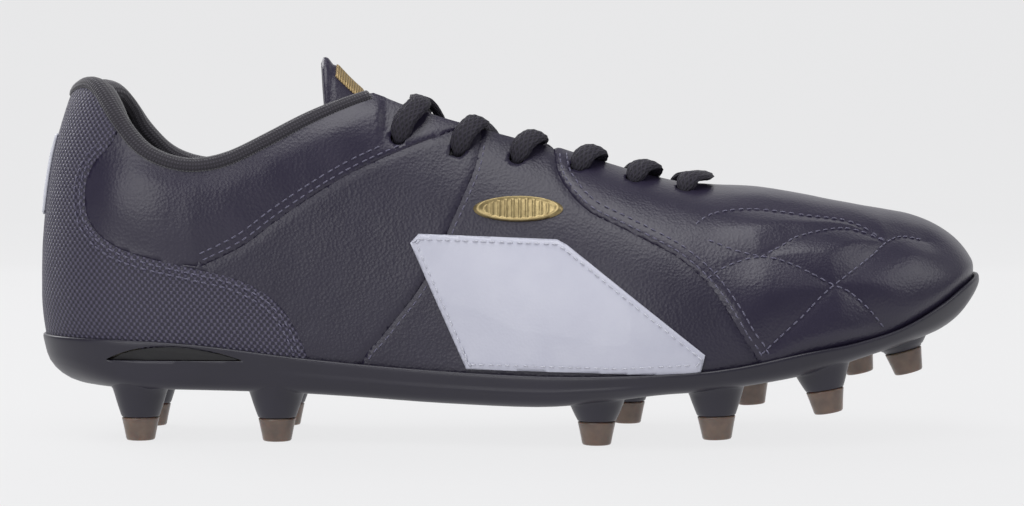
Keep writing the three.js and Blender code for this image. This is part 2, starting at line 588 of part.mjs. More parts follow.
for (let i = 0; i <= BINDING_STEPS; i++) {
  const turn = bindingStart + (bindingEnd - bindingStart) * i / BINDING_STEPS;
  const rise = collarRise(turn);
  bindingPoints.push({ at: offsetPoint(turn, rise, wallMiddle), across: lastNormal(turn, rise) });
}
const bindingPositions = [];
const bindingFaces = [];
bindingPoints.forEach(({ at, across }, i) => {
  const next = bindingPoints[Math.min(i + 1, BINDING_STEPS)].at;
  const last = bindingPoints[Math.max(i - 1, 0)].at;
  const forward = next.clone().sub(last).normalize();
  const up = across.clone().cross(forward).normalize();
  if (up.z < 0) up.negate();
  const centre = at.clone().addScaledVector(up, BINDING_HEIGHT / 2 + 3 * GAP);
  for (let k = 0; k < BINDING_SIDES; k++) {
    const angle = -k / BINDING_SIDES * Math.PI * 2;
    const p = centre.clone().addScaledVector(across, Math.cos(angle) * BINDING_WIDTH / 2)
      .addScaledVector(up, Math.sin(angle) * BINDING_HEIGHT / 2);
    bindingPositions.push(p.x, p.y, p.z);
  }
  if (i === BINDING_STEPS) return;
  for (let k = 0; k < BINDING_SIDES; k++) {
    const a = i * BINDING_SIDES + k;
    const b = i * BINDING_SIDES + (k + 1) % BINDING_SIDES;
    bindingFaces.push(a, b, b + BINDING_SIDES, a, b + BINDING_SIDES, a + BINDING_SIDES);
  }
});
const lastRing = BINDING_STEPS * BINDING_SIDES;
for (let k = 1; k < BINDING_SIDES - 1; k++) {
  bindingFaces.push(0, k + 1, k);
  bindingFaces.push(lastRing, lastRing + k, lastRing + k + 1);
}
addPiece('collar_binding', solidFrom(bindingPositions, bindingFaces), '#454448', 0.7);

// ---- Lace: one cord threaded criss-cross through all the eyelets, its ends tucked inside ----
const wallThickness = innerFace + LINING;
const overWall = LACE_RADIUS + LACE_CLEARANCE;
const underWall = -(wallThickness + LACE_RADIUS + LACE_CLEARANCE);
function laceAt(x, side, inset, offset) {
  const y = along(CROWN_SIDE_SHIFT, x) + side * (throatHalf(x) + inset);
  const place = placeFromAbove(x, y, side);
  return offsetPoint(place.turn, place.rise, offset);
}
const LACE_DIP = 1.1;         // how much farther the lace hangs under the wall beside an eyelet
const LACE_TOP_DIP = 1.6;     // the same at the top eyelets
const CROSSING_SPREAD = 1.8;  // how far apart the two strands lie along the shoe where they cross
const CROSSING_SIDE = 3;
const lowCrossing = -(TONGUE_DEPTH - LACE_RADIUS - LACE_CLEARANCE);
const highCrossing = lowCrossing + 2 * LACE_RADIUS + LACE_CLEARANCE;
function threadEyelet(x, side) {
  const dip = x === EYELET_X.at(-1) ? LACE_TOP_DIP : LACE_DIP;
  return [
    laceAt(x + 1, side, 0, overWall + 1.1),
    laceAt(x, side, EYELET_INSET - 2, overWall + 0.5),
    laceAt(x, side, EYELET_INSET + 0.1, -wallThickness / 2),
    laceAt(x - 0.3, side, EYELET_INSET - 2, underWall - dip),
    laceAt(x - 1.5, side, 0, underWall - 0.6),
  ];
}
function laceHalf(firstSide, crossingOffset) {
  let side = firstSide;
  const points = [...threadEyelet(EYELET_X[0], side)];
  for (let i = 1; i < EYELET_X.length; i++) {
    const middleX = (EYELET_X[i - 1] + EYELET_X[i]) / 2;
    points.push(laceAt(middleX + CROSSING_SPREAD, side, -throatHalf(middleX) + CROSSING_SIDE, crossingOffset));
    side = -side;
    points.push(laceAt(middleX - CROSSING_SPREAD, side, -throatHalf(middleX) + CROSSING_SIDE, crossingOffset));
    points.push(...threadEyelet(EYELET_X[i], side));
  }
  points.pop();
  const tuck = (p) => underWall - padding(p) - 1;
  for (const [x, inset] of [[-40, 8.7], [-45, 9.2], [-49, 9.2]]) points.push(laceAt(x, side, inset, tuck));
  return { points, side, tuck };
}
const firstHalf = laceHalf(-1, lowCrossing);
const secondHalf = laceHalf(1, highCrossing);
const lacePoints = [...firstHalf.points.reverse(), ...secondHalf.points];
const laceRoute = new THREE.CatmullRomCurve3(lacePoints, false, 'centripetal');
const laceSection = new THREE.Shape(Array.from({ length: 6 }, (_, k) => new THREE.Vector2(
  Math.cos(k / 3 * Math.PI) * LACE_RADIUS, Math.sin(k / 3 * Math.PI) * LACE_RADIUS)));
const LACE_STEPS = 125;
addPiece('lace', toSolid(new THREE.ExtrudeGeometry(laceSection, {
  steps: LACE_STEPS, extrudePath: laceRoute, bevelEnabled: false,
})), '#1f1e26', 0.85);
for (const [half, at] of [[firstHalf, 0], [secondHalf, 1]]) {
  const end = laceRoute.getPoint(at);
  const direction = laceRoute.getTangent(at).multiplyScalar(at === 0 ? -1 : 1);
  const aglet = new THREE.CylinderGeometry(AGLET_RADIUS, AGLET_RADIUS, AGLET_LENGTH, 10);
  aglet.applyQuaternion(new THREE.Quaternion().setFromUnitVectors(new THREE.Vector3(0, 1, 0), direction));
  const middle = end.addScaledVector(direction, AGLET_LENGTH / 2 + GAP);
  aglet.translate(middle.x, middle.y, middle.z);
  addPiece(`aglet_${half.side < 0 ? 'lateral' : 'medial'}`, toSolid(aglet), '#101014', 0.3);
}

// The origin is under the middle of the whole shoe, on the ground.
const extent = new THREE.Box3().setFromObject(shoe);
const middle = extent.getCenter(new THREE.Vector3());
shoe.position.set(-middle.x, -middle.y, -extent.min.z);

export default shoe;
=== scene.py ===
import math
import bmesh
import bpy
from mathutils import Matrix, Vector, noise
from mathutils.bvhtree import BVHTree
from mathutils.kdtree import KDTree
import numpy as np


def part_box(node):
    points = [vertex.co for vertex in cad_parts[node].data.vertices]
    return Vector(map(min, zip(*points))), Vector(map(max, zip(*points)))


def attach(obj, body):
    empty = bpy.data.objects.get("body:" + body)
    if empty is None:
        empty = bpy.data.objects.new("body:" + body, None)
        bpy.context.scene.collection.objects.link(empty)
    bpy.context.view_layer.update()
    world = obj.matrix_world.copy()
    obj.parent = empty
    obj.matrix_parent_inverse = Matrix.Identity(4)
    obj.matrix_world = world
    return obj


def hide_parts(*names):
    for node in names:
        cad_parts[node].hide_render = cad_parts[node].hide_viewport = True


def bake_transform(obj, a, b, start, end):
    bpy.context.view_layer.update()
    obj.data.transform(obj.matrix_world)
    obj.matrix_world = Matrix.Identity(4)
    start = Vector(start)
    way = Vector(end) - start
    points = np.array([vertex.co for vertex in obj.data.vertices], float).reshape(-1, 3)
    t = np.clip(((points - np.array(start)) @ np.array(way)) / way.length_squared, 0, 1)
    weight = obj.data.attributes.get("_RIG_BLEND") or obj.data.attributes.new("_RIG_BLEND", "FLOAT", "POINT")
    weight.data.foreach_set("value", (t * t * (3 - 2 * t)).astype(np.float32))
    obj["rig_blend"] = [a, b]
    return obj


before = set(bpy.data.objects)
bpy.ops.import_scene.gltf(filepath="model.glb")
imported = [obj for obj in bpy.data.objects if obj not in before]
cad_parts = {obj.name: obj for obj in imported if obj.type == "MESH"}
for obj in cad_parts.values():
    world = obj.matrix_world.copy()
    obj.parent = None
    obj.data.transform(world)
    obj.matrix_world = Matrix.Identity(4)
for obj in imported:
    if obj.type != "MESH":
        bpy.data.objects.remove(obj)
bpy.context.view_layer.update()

# ---- Studio ----
# A plain pale sweep, lit by wide soft boxes from above and from the front, with the camera level
# with the instep on the outer side of the shoe.


def linear(hex_colour):
    channels = [int(hex_colour[i:i + 2], 16) / 255 for i in (1, 3, 5)]
    return [c / 12.92 if c <= 0.04045 else ((c + 0.055) / 1.055) ** 2.4 for c in channels] + [1.0]


def add_node(tree, kind, settings=None, inputs=None):
    node = tree.nodes.new(kind)
    for key, value in (settings or {}).items():
        setattr(node, key, value)
    for key, value in (inputs or {}).items():
        socket = node.inputs[key]
        if isinstance(value, bpy.types.NodeSocket):
            tree.links.new(value, socket)
        else:
            socket.default_value = value
    return node


def new_material(name, **shader_values):
    material = bpy.data.materials.new(name)
    material.use_nodes = True
    tree = material.node_tree
    shader = tree.nodes["Principled BSDF"]
    for key, value in shader_values.items():
        shader.inputs[key.replace("_", " ")].default_value = value
    return material, tree, shader


def finished(bm, name, material=None, smooth=True):
    mesh = bpy.data.meshes.new(name)
    bm.to_mesh(mesh)
    bm.free()
    for polygon in mesh.polygons:
        polygon.use_smooth = smooth
    piece = bpy.data.objects.new(name, mesh)
    bpy.context.collection.objects.link(piece)
    if material:
        mesh.materials.append(material)
    return piece


camera_data = bpy.data.cameras.new("camera")
camera_data.lens = 95.6
camera_data.sensor_width = 36
camera = bpy.data.objects.new("camera", camera_data)
camera.location = (0, -0.85, 0.090)
aim = Vector((0, 0, 0.05625)) - camera.location
camera.rotation_euler = aim.to_track_quat("-Z", "Y").to_euler()
bpy.context.collection.objects.link(camera)
bpy.context.scene.camera = camera
bpy.context.scene.view_settings.view_transform = "Standard"

# White paper, lit so evenly that it nearly glows; it carries a faint contact shadow only.
paper, tree, shader = new_material("seamless_paper", Roughness=0.95, Emission_Strength=0.86)
shader.inputs["Base Color"].default_value = linear("#242425")
shader.inputs["Emission Color"].default_value = linear("#f4f4f5")
bm = bmesh.new()
bmesh.ops.create_grid(bm, x_segments=8, y_segments=40, size=3)
for vert in bm.verts:
    turn_up = max(0, vert.co.y - 1.2)
    vert.co.z = turn_up ** 2 * 1.2
floor = finished(bm, "paper_sweep", paper)

world = bpy.data.worlds.new("studio")
bpy.context.scene.world = world
world.use_nodes = True
world.node_tree.nodes["Background"].inputs["Color"].default_value = linear("#eef0f6")
world.node_tree.nodes["Background"].inputs["Strength"].default_value = 0.2

# Soft boxes: [name, place, size, power in watts]
for name, place, size, power in [
    ["overhead_box", (-0.1, -0.35, 1.3), 1.1, 13],
    ["front_box", (-0.8, -1.4, 0.6), 1.0, 10],
    ["toe_box", (1.2, -0.2, 0.8), 0.8, 4],
    ["rear_box", (-0.9, 0.7, 0.9), 0.7, 9],
]:
    light_data = bpy.data.lights.new(name, "AREA")
    light_data.size = size
    light_data.energy = power
    light = bpy.data.objects.new(name, light_data)
    light.location = place
    light.rotation_euler = (Vector((0, 0, 0.05)) - Vector(place)).to_track_quat("-Z", "Y").to_euler()
    bpy.context.collection.objects.link(light)

# ---- The last ----
# The foot-shaped form that the upper is pulled over. Its surface, in millimetres, is the outside
# of the upper; every soft layer is this surface moved in or out.
HALF_LENGTH = 145.3
LATERAL_HALF = [[-145, 33], [-100, 34], [-60, 34], [-20, 37], [15, 45], [45, 50], [75, 50], [100, 47],
    [145, 40]]
MEDIAL_HALF = [[-145, 33], [-100, 33.5], [-60, 32], [-20, 31], [10, 35], [40, 42], [65, 46.5], [90, 47],
    [145, 42]]
CENTRE_LINE = [[-145, 0], [40, 0], [90, 2], [145, 5]]
BASE_HEIGHT = [[-145, 14], [-60, 12.5], [-20, 9.5], [15, 8.8], [45, 13], [80, 17.5], [109, 25.5], [145, 36]]
CROWN_HEIGHT = [[-97, 141], [-78, 136], [-57, 126], [-40, 115], [-20, 105], [-2, 97.5], [13, 92],
                [29, 86.5], [42, 82], [56, 78.5], [67, 77], [78, 75.6], [90, 73.6], [105, 70.6], [117, 68.4]]
BELLY = [[-145, 0.25], [-60, 0.2], [20, 0.17], [80, 0.2], [120, 0.3], [145, 0.36]]
FULLNESS = [[-145, 2.15], [-40, 2.5], [20, 2.25], [80, 2.2], [125, 2], [145, 1.85]]
TUCK = [[-145, 0.86], [-100, 0.9], [0, 0.9], [100, 0.9], [145, 0.88]]
CROWN_SHIFT = [[-97, 0], [-60, -1], [-20, -2.5], [15, -2], [40, 0], [90, 3], [117, 5]]
CROWN_BACK = -97
CROWN_FRONT = 117
HEEL_ROUND = 42
TOE_ROUND = 64
LOW_SHARE = 0.2
# The whole shoe is centred over the origin, which moves the last by this much.
plate_low, plate_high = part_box("stud_plate")
CENTRING = Vector((plate_high.x * 1000 - 147.18, 0.91, 0))


def along(stations, x):
    if x <= stations[0][0]:
        return stations[0][1]
    for i in range(1, len(stations)):
        x1, v1 = stations[i]
        if x > x1:
            continue
        x0, v0 = stations[i - 1]
        before = stations[max(i - 2, 0)]
        after = stations[min(i + 1, len(stations) - 1)]
        slope0 = (v1 - before[1]) / (x1 - before[0]) * (x1 - x0)
        slope1 = (after[1] - v0) / (after[0] - x0) * (x1 - x0)
        k = (x - x0) / (x1 - x0)
        return ((2 * k ** 3 - 3 * k * k + 1) * v0 + (k ** 3 - 2 * k * k + k) * slope0
                + (3 * k * k - 2 * k ** 3) * v1 + (k ** 3 - k * k) * slope1)
    return stations[-1][1]


def rib(station, side):
    """The numbers of one rib of the last, at a station 0..1 from heel to toe."""
    x = -HALF_LENGTH * math.cos(math.pi * station)
    back = max(0, (HEEL_ROUND - (x + HALF_LENGTH)) / HEEL_ROUND)
    front = max(0, (TOE_ROUND - (HALF_LENGTH - x)) / TOE_ROUND)
    rounding = max(0, 1 - back ** 2.3) ** (1 / 2.3) * max(0, 1 - front ** 2.15) ** (1 / 2.15)
    half_width = along(LATERAL_HALF if side < 0 else MEDIAL_HALF, x) * rounding
    foot_y = along(CENTRE_LINE, x) + side * half_width
    crown_x = CROWN_BACK + (x + HALF_LENGTH) / (2 * HALF_LENGTH) * (CROWN_FRONT - CROWN_BACK)
    low = along(BASE_HEIGHT, x)
    return (x, foot_y, crown_x, along(CROWN_SHIFT, crown_x), low, along(CROWN_HEIGHT, crown_x) - low,
            along(BELLY, x), along(FULLNESS, x), along(TUCK, x))


def on_rib(numbers, rise):
    x, foot_y, crown_x, crown_y, low, tall, belly, full, tuck = numbers
    height = belly * rise / LOW_SHARE
    reach = 1 - (1 - tuck) * ((belly - height) / belly) ** 2
    if rise > LOW_SHARE:
        angle = (rise - LOW_SHARE) / (1 - LOW_SHARE) * math.pi / 2
        height = belly + (1 - belly) * math.sin(angle) ** (2 / full)
        reach = max(0, math.cos(angle)) ** (2 / full)
    return Vector((crown_x + reach * (x - crown_x), crown_y + reach * (foot_y - crown_y),
                   low + height * tall)) + CENTRING


def evenly(points, count):
    """Places along a line of points, as fractions of its index, that divide its length evenly."""
    lengths = [0]
    for a, b in zip(points, points[1:]):
        lengths.append(lengths[-1] + (b - a).length)
    places = []
    k = 0
    for i in range(count + 1):
        wanted = lengths[-1] * i / count
        while k < len(lengths) - 2 and lengths[k + 1] < wanted:
            k += 1
        places.append((k + (wanted - lengths[k]) / (lengths[k + 1] - lengths[k])) / (len(points) - 1))
    return places, lengths[-1]


def last_skin(columns, rows, lowest=0.0):
    """The last's surface as an even grid of faces, with each point's way round and way up in metres."""
    half = columns // 2
    outline = [(on_rib(rib(i / 400, -1), LOW_SHARE) + on_rib(rib(i / 400, 1),
        LOW_SHARE) * Vector((1, -1, 1))) / 2
               for i in range(401)]
    stations, side_length = evenly(outline, half)
    ribs = []
    for i in range(columns):
        side = -1 if i <= half else 1
        numbers = rib(stations[i] if i <= half else stations[columns - i], side)
        samples = [on_rib(numbers, lowest + (1 - lowest) * k / 80) for k in range(81)]
        rises, height = evenly(samples, rows)
        ribs.append((numbers, [lowest + (1 - lowest) * r for r in rises], height))
    bm = bmesh.new()
    bmesh.ops.create_grid(bm, x_segments=columns, y_segments=rows, size=1)
    around = bm.verts.layers.float.new("around")
    up = bm.verts.layers.float.new("up")
    for vert in bm.verts:
        i = round((vert.co.x + 1) / 2 * columns)
        j = round((vert.co.y + 1) / 2 * rows)
        numbers, rises, height = ribs[i % columns]
        vert[around] = side_length * (i if i <= half else columns - i) / half / 1000
        vert[up] = height * j / rows / 1000
        vert.co = on_rib(numbers, rises[j]) / 1000
    bmesh.ops.remove_doubles(bm, verts=bm.verts, dist=3e-5)
    tight = [v for v in bm.verts if v.co.x > (CROWN_FRONT - 3 + CENTRING.x) / 1000 and v[up] > 0 and any(
        e.calc_length() < 0.0004 for e in v.link_edges) and v.co.z > 0.066]
    bmesh.ops.remove_doubles(bm, verts=tight, dist=0.0007)
    bmesh.ops.dissolve_degenerate(bm, dist=2e-5, edges=bm.edges)
    bmesh.ops.recalc_face_normals(bm, faces=bm.faces)
    top = max(bm.faces, key=lambda f: f.calc_center_median().z)
    if top.normal.z < 0:
        bmesh.ops.reverse_faces(bm, faces=bm.faces)
    bm.normal_update()
    return bm


# Lines in side view, from their lowest point to their highest, in millimetres.
UNDERSIDE = [[-150, 18], [-139, 17], [-125, 16.2], [-100, 16], [-70, 15.2], [-48, 14], [-20, 12.2], [8, 11.6],
             [26, 13.2], [44, 15.7], [60, 17], [83, 20.4], [96, 23.4], [109, 27], [122, 30.3], [132, 33.4],
             [139, 37.6], [144, 43], [148, 48]]
RIM_EDGE = [[-150, 31.8], [-120, 31.4], [-95, 30], [-63, 26], [-30, 23], [0, 21.6], [26, 21.6], [60, 23.4],
            [87, 28.4], [103, 31], [118, 35], [131, 41.4], [139, 46.4], [148, 51]]
COLLAR_EDGE = [[-150, 101], [-139, 104.6], [-133.5, 109], [-129, 110], [-125, 106.8], [-119, 98],
    [-111, 88.8], [-99, 84.2],
               [-87, 85.4], [-75, 91], [-62, 98], [-50, 103.4], [-41, 106.2], [-30, 107]]
VAMP_SEAM = [[77, 14], [73, 27], [69, 33], [64, 41.5], [58, 49.5], [50, 56.5], [42, 61], [33, 65.5],
             [24, 70], [17.5, 76.5], [14, 84], [13, 100]]
QUARTER_SEAM = [[-48, 14], [-44, 26], [-39, 32], [-33, 39.5], [-28, 46], [-22, 56], [-18, 66], [-14, 75],
                [-10, 86], [-8, 104]]
COLLAR_SEAM = [[-92, 54], [-80, 60], [-68, 69], [-50, 80.5], [-33, 88.5], [-20, 93.5], [-9, 97]]
HEEL_EDGE = [[-58, 14], [-61, 26], [-66, 37], [-72, 44], [-82, 49.5], [-96, 53], [-111, 56.5],
             [-121, 60.5], [-127.5, 67], [-129, 76], [-126.5, 84], [-121, 90], [-118, 97], [-117, 112]]
SADDLE = [[-13, 23], [-30, 60.5], [-27.5, 63.2], [14, 61.6], [17, 60], [57.5, 28], [56, 22]]


def smooth_line(points, steps=4):
    """A rounded line through flat points, moved to the centred frame, in metres."""
    line = []
    for i in range(len(points) - 1):
        p = [Vector(points[k]) for k in (max(i - 1, 0), i, i + 1, min(i + 2, len(points) - 1))]
        for s in range(steps):
            t = s / steps
            line.append(0.5 * (2 * p[1] + (p[2] - p[0]) * t + (2 * p[0] - 5 * p[1] + 4 * p[2] - p[3]) * t * t
                               + (3 * p[1] - p[0] - 3 * p[2] + p[3]) * t ** 3))
    line.append(Vector(points[-1]))
    return [(p + Vector((CENTRING.x, 0))) / 1000 for p in line]


def line_height(line, x):
    for a, b in zip(line, line[1:]):
        if min(a.x, b.x) <= x <= max(a.x, b.x):
            return a.y + (b.y - a.y) * (x - a.x) / (b.x - a.x)
    return line[-1].y if x > line[-1].x else line[0].y


def inside(outline, x, z):
    odd = False
    for a, b in zip(outline, outline[1:] + outline[:1]):
        if (a.y > z) != (b.y > z) and x < a.x + (b.x - a.x) * (z - a.y) / (b.y - a.y):
            odd = not odd
    return odd


def cut_along(bm, line, across="Y", reach=0.003):
    """Cuts the faces along a flat line, seen along Y or along Z."""
    flat = (lambda v: Vector((v.x, v.z))) if across == "Y" else (lambda v: Vector((v.x, v.y)))
    for a, b in zip(line, line[1:]):
        ahead = (b - a).normalized()
        length = (b - a).length
        near = [f for f in bm.faces if -reach < (flat(f.verts[0].co) - a).dot(ahead) < length + reach
                and abs((flat(f.verts[0].co) - a).cross(ahead)) < reach]
        geometry = list({e for f in near for e in f.edges} | {v for f in near for v in f.verts}) + near
        side = Vector((ahead.y, 0, -ahead.x)) if across == "Y" else Vector((ahead.y, -ahead.x, 0))
        spot = Vector((a.x, 0, a.y)) if across == "Y" else Vector((a.x, a.y, 0))
        bmesh.ops.bisect_plane(bm, geom=geometry, dist=2e-6, plane_co=spot, plane_no=side)


# ---- Outer skin ----
# Soft synthetic leather with a fine grain, cut in panels that are skived, butted and stitched.
# The whole skin is shaped first, with its sunk seams, padded collar and quilted toe.
SKIN_COLUMNS = 540
SKIN_ROWS = 92
THROAT_END = 61
THROAT_FRONT = 11
THROAT_BACK = 14.5
skin = last_skin(SKIN_COLUMNS, SKIN_ROWS)
plain_skin = BVHTree.FromBMesh(skin)

vamp_seam = smooth_line(VAMP_SEAM)
quarter_seam = smooth_line(QUARTER_SEAM)
collar_seam = smooth_line(COLLAR_SEAM)
heel_edge = smooth_line(HEEL_EDGE)
collar_edge = smooth_line(COLLAR_EDGE)
rim_edge = smooth_line(RIM_EDGE)
underside = smooth_line(UNDERSIDE)
quilting = [smooth_line(line) for line in (
    [[58.4, 50.5], [65, 54.3], [74.9, 56.7], [84.5, 54.3], [95.6, 48.7], [101, 46.3], [107.3, 40.9], [113, 34]],
    [[59.6, 61.5], [67.4, 58.5], [74.9, 56.7]],
    [[74.9, 56.7], [82.1, 60.3], [86.9, 62.7], [99.2, 64.8], [107, 63.6], [114.4, 60.5]],
    [[74, 28], [80, 33.4], [86.9, 39.5], [93.2, 45.7], [101, 51.4], [109, 56.7], [114.4, 60.5], [120, 62],
     [128, 60.5]],
    [[56, 66.5], [62, 69.5], [74, 70.5], [90, 68.6], [104, 66.5], [114.4, 60.5]])]


def draped(line, side, tree=plain_skin, spacing=0.0005):
    """A side-view line laid on one side of a surface: evenly spaced points with their normals."""
    points = []
    for a, b in zip(line, line[1:]):
        steps = max(1, round((b - a).length / spacing))
        for s in range(steps):
            flat = a.lerp(b, s / steps)
            hit, normal = tree.ray_cast(Vector((flat.x, side * 0.2, flat.y)), Vector((0, -side, 0)))[:2]
            if hit:
                points.append((hit, normal))
    return points


def nearness(*lines):
    tree = KDTree(sum(len(line) for line in lines))
    index = 0
    for line in lines:
        for point, normal in line:
            tree.insert(point, index)
            index += 1
    tree.balance()
    return lambda co: tree.find(co)[2] * 1000


def both_sides(*lines):
    return [draped(line, side) for line in lines for side in (-1, 1)]


def ease(value, start, end):
    t = min(1, max(0, (value - start) / (end - start)))
    return t * t * (3 - 2 * t)


def behind(line):
    return line + [Vector((-0.4, line[-1].y)), Vector((-0.4, line[0].y))]


def ahead(line):
    return line + [Vector((0.4, line[-1].y)), Vector((0.4, line[0].y))]


def throat_half(x):
    share = min(1, max(0, (50 - x) / 85))
    return THROAT_FRONT + (THROAT_BACK - THROAT_FRONT) * share


def crown_y(x):
    return along(CROWN_SHIFT, x) + CENTRING.y


throat_line = [Vector((-70, -THROAT_BACK)), Vector((-35, -THROAT_BACK))]
for k in range(25):
    angle = math.pi * (k / 24 - 0.5)
    throat_line.append(Vector((THROAT_END - THROAT_FRONT + THROAT_FRONT * math.cos(angle),
                               THROAT_FRONT * math.sin(angle))))
throat_line += [Vector((-35, THROAT_BACK)), Vector((-70, THROAT_BACK))]
long_line = []
for a, b in zip(throat_line, throat_line[1:]):
    steps = max(1, int((b - a).length / 4))
    long_line += [a.lerp(b, s / steps) for s in range(steps)]
throat_line = [Vector((p.x + CENTRING.x, p.y + crown_y(p.x))) / 1000 for p in long_line + [throat_line[-1]]]

heel_region, vamp_region = behind(heel_edge), ahead(vamp_seam)
front_region = ahead(quarter_seam)
collar_region = collar_seam + [Vector((collar_seam[-1].x, 0.4)), Vector((-0.4, 0.4)),
    Vector((-0.4, collar_seam[0].y))]


def cut_openings(bm):
    """Cuts out the ankle opening and the lace opening."""
    cut_along(bm, collar_edge)
    cut_along(bm, throat_line, across="Z")
    gone = []
    for face in bm.faces:
        c = face.calc_center_median()
        over_collar = c.x < collar_edge[-1].x and c.z > line_height(collar_edge, c.x)
        if over_collar or (c.z > 0.06 and inside(throat_line, c.x, c.y)):
            gone.append(face)
    bmesh.ops.delete(bm, geom=gone, context="FACES")


for line in (vamp_seam, quarter_seam, collar_seam, heel_edge):
    cut_along(skin, line)
quilt_lines = both_sides(*quilting)
seam_lines = both_sides(vamp_seam, quarter_seam, [p for p in collar_seam if p.x < -0.008])
to_quilt = nearness(*quilt_lines)
to_seam = nearness(*seam_lines)
to_heel = nearness(*both_sides(heel_edge))
to_vamp = nearness(*both_sides(vamp_seam))
to_collar = nearness(*both_sides(collar_edge))


def relief(co):
    """How far the skin stands out from the last, in millimetres."""
    x, z = co.x * 1000, co.z * 1000
    seam = to_seam(co)
    height = -0.4 * math.exp(-(seam / 0.9) ** 2)
    if x > 40:
        quilt = to_quilt(co)
        padded_toe = ease(x, 56, 78) * ease(z, 24, 34)
        height += padded_toe * ease(z - line_height(rim_edge, co.x) * 1000, -1,
            5) * (1.25 * (1 - math.exp(-(quilt / 6.5) ** 2)) - 0.35 * math.exp(-(quilt / 1.0) ** 2))
    if inside(vamp_region, co.x, co.z):
        edge = to_vamp(co)
        height += 0.5 * math.exp(-(edge / 8) ** 2) * (1 - math.exp(-(edge / 0.8) ** 2))
    if x < -40:
        heel = to_heel(co)
        if inside(heel_region, co.x, co.z):
            height += 0.75 * (1 - math.exp(-(heel / 0.9) ** 2))
        elif inside(collar_region, co.x, co.z):
            height += 1.3 * (1 - math.exp(-(min(heel, seam) / 9) ** 2)) * ease(to_collar(co), 0, 9)
    height += 0.16 * noise.noise(co * 55) + 0.07 * noise.noise(co * 160)
    return height


shifts = [(vert, relief(vert.co)) for vert in skin.verts]
for vert, height in shifts:
    vert.co += vert.normal * height / 1000
skin.normal_update()
shaped_skin = BVHTree.FromBMesh(skin)


# The eyelets are punched holes with no metal in them.
EYELET_X = [53, 37.5, 20.5, 2, -16, -34]
EYELET_INSET = 8
EYELET_RADIUS = 0.0024


def on_top(x, side, inset, offset, tree=plain_skin):
    """A point of the lace's way: seen from above, at a distance from the edge of the lace opening."""
    y = crown_y(x) + side * (throat_half(x) + inset)
    start = Vector(((x + CENTRING.x) / 1000, y / 1000, 0.2))
    hit, normal = tree.ray_cast(start, Vector((0, 0, -1)))[:2]
    return hit + normal * offset / 1000, normal


def punch(bm, centre, radius):
    near = [v for v in bm.verts if (v.co - centre).length < radius * 1.7]
    for vert in near:
        gap = (vert.co - centre).length
        if abs(gap - radius) < radius * 0.3:
            vert.co = centre + (vert.co - centre) * radius / gap
    hole = {f for v in near for f in v.link_faces if (f.calc_center_median() - centre).length < radius}
    bmesh.ops.delete(bm, geom=list(hole), context="FACES")


cut_openings(skin)
for side in (-1, 1):
    for x in EYELET_X:
        punch(skin, on_top(x, side, EYELET_INSET, 0, shaped_skin)[0], EYELET_RADIUS)
hidden = [f for f in skin.faces if f.calc_center_median().z < line_height(rim_edge,
    f.calc_center_median().x) - 0.0018]
bmesh.ops.delete(skin, geom=hidden, context="FACES")

# Synthetic leather, drum-dyed near black with a violet cast and lightly polished: a fine pebble
# grain that breaks up a soft, broad highlight.
GRAIN = 1 / 0.0009


def leather(name, colour, roughness, grain_depth):
    material, tree, shader = new_material(name, Roughness=roughness, Specular_IOR_Level=0.5)
    place = add_node(tree, "ShaderNodeTexCoord").outputs["Object"]
    pebble = add_node(tree, "ShaderNodeTexVoronoi", {"feature": "F1"}, {"Vector": place, "Scale": GRAIN})
    mottle = add_node(tree, "ShaderNodeTexNoise", inputs={"Vector": place, "Scale": 90.0, "Detail": 5.0})
    shade = add_node(tree, "ShaderNodeMix", {"data_type": "RGBA"}, {
        "Factor": mottle.outputs["Fac"], "A": linear(colour[0]), "B": linear(colour[1])})
    tree.links.new(shade.outputs["Result"], shader.inputs["Base Color"])
    wear = add_node(tree, "ShaderNodeMapRange", inputs={
        "Value": mottle.outputs["Fac"], "To Min": roughness - 0.05, "To Max": roughness + 0.07})
    tree.links.new(wear.outputs["Result"], shader.inputs["Roughness"])
    bump = add_node(tree, "ShaderNodeBump", inputs={
        "Height": pebble.outputs["Distance"], "Strength": grain_depth, "Distance": 0.0002})
    tree.links.new(bump.outputs["Normal"], shader.inputs["Normal"])
    return material


smooth_leather = leather("synthetic_leather_polished", ["#211d30", "#2b2639"], 0.34, 0.3)
quarter_leather = leather("synthetic_leather_grained", ["#1f1b2d", "#282436"], 0.4, 0.45)

# The heel cover is a coated textile: rows of small raised lozenges about 2 mm apart.
WEAVE_ROWS = 2 * math.pi / 0.0019
woven, tree, shader = new_material("coated_woven_textile", Roughness=0.5, Specular_IOR_Level=0.45)
wrap = add_node(tree, "ShaderNodeUVMap", {"uv_map": "wrap"}).outputs["UV"]
parts = add_node(tree, "ShaderNodeSeparateXYZ", inputs={"Vector": wrap})
sines = []
for sign in (1, -1):
    lean = add_node(tree, "ShaderNodeMath", {"operation": "MULTIPLY_ADD"}, {
        0: parts.outputs["Y"], 1: 0.1 + sign * 0.9, 2: parts.outputs["X"]})
    turns = add_node(tree, "ShaderNodeMath", {"operation": "MULTIPLY"}, {0: lean.outputs[0], 1: WEAVE_ROWS})
    sines.append(add_node(tree, "ShaderNodeMath", {"operation": "SINE"}, {0: turns.outputs[0]}))
product = add_node(tree, "ShaderNodeMath", {"operation": "ADD"},
    {0: sines[0].outputs[0], 1: sines[1].outputs[0]})
lozenge = add_node(tree, "ShaderNodeMapRange", inputs={
    "Value": product.outputs[0], "From Min": -0.9, "From Max": 1.5})
tint = add_node(tree, "ShaderNodeMix", {"data_type": "RGBA"}, {
    "Factor": lozenge.outputs["Result"], "A": linear("#242130"), "B": linear("#514d62")})
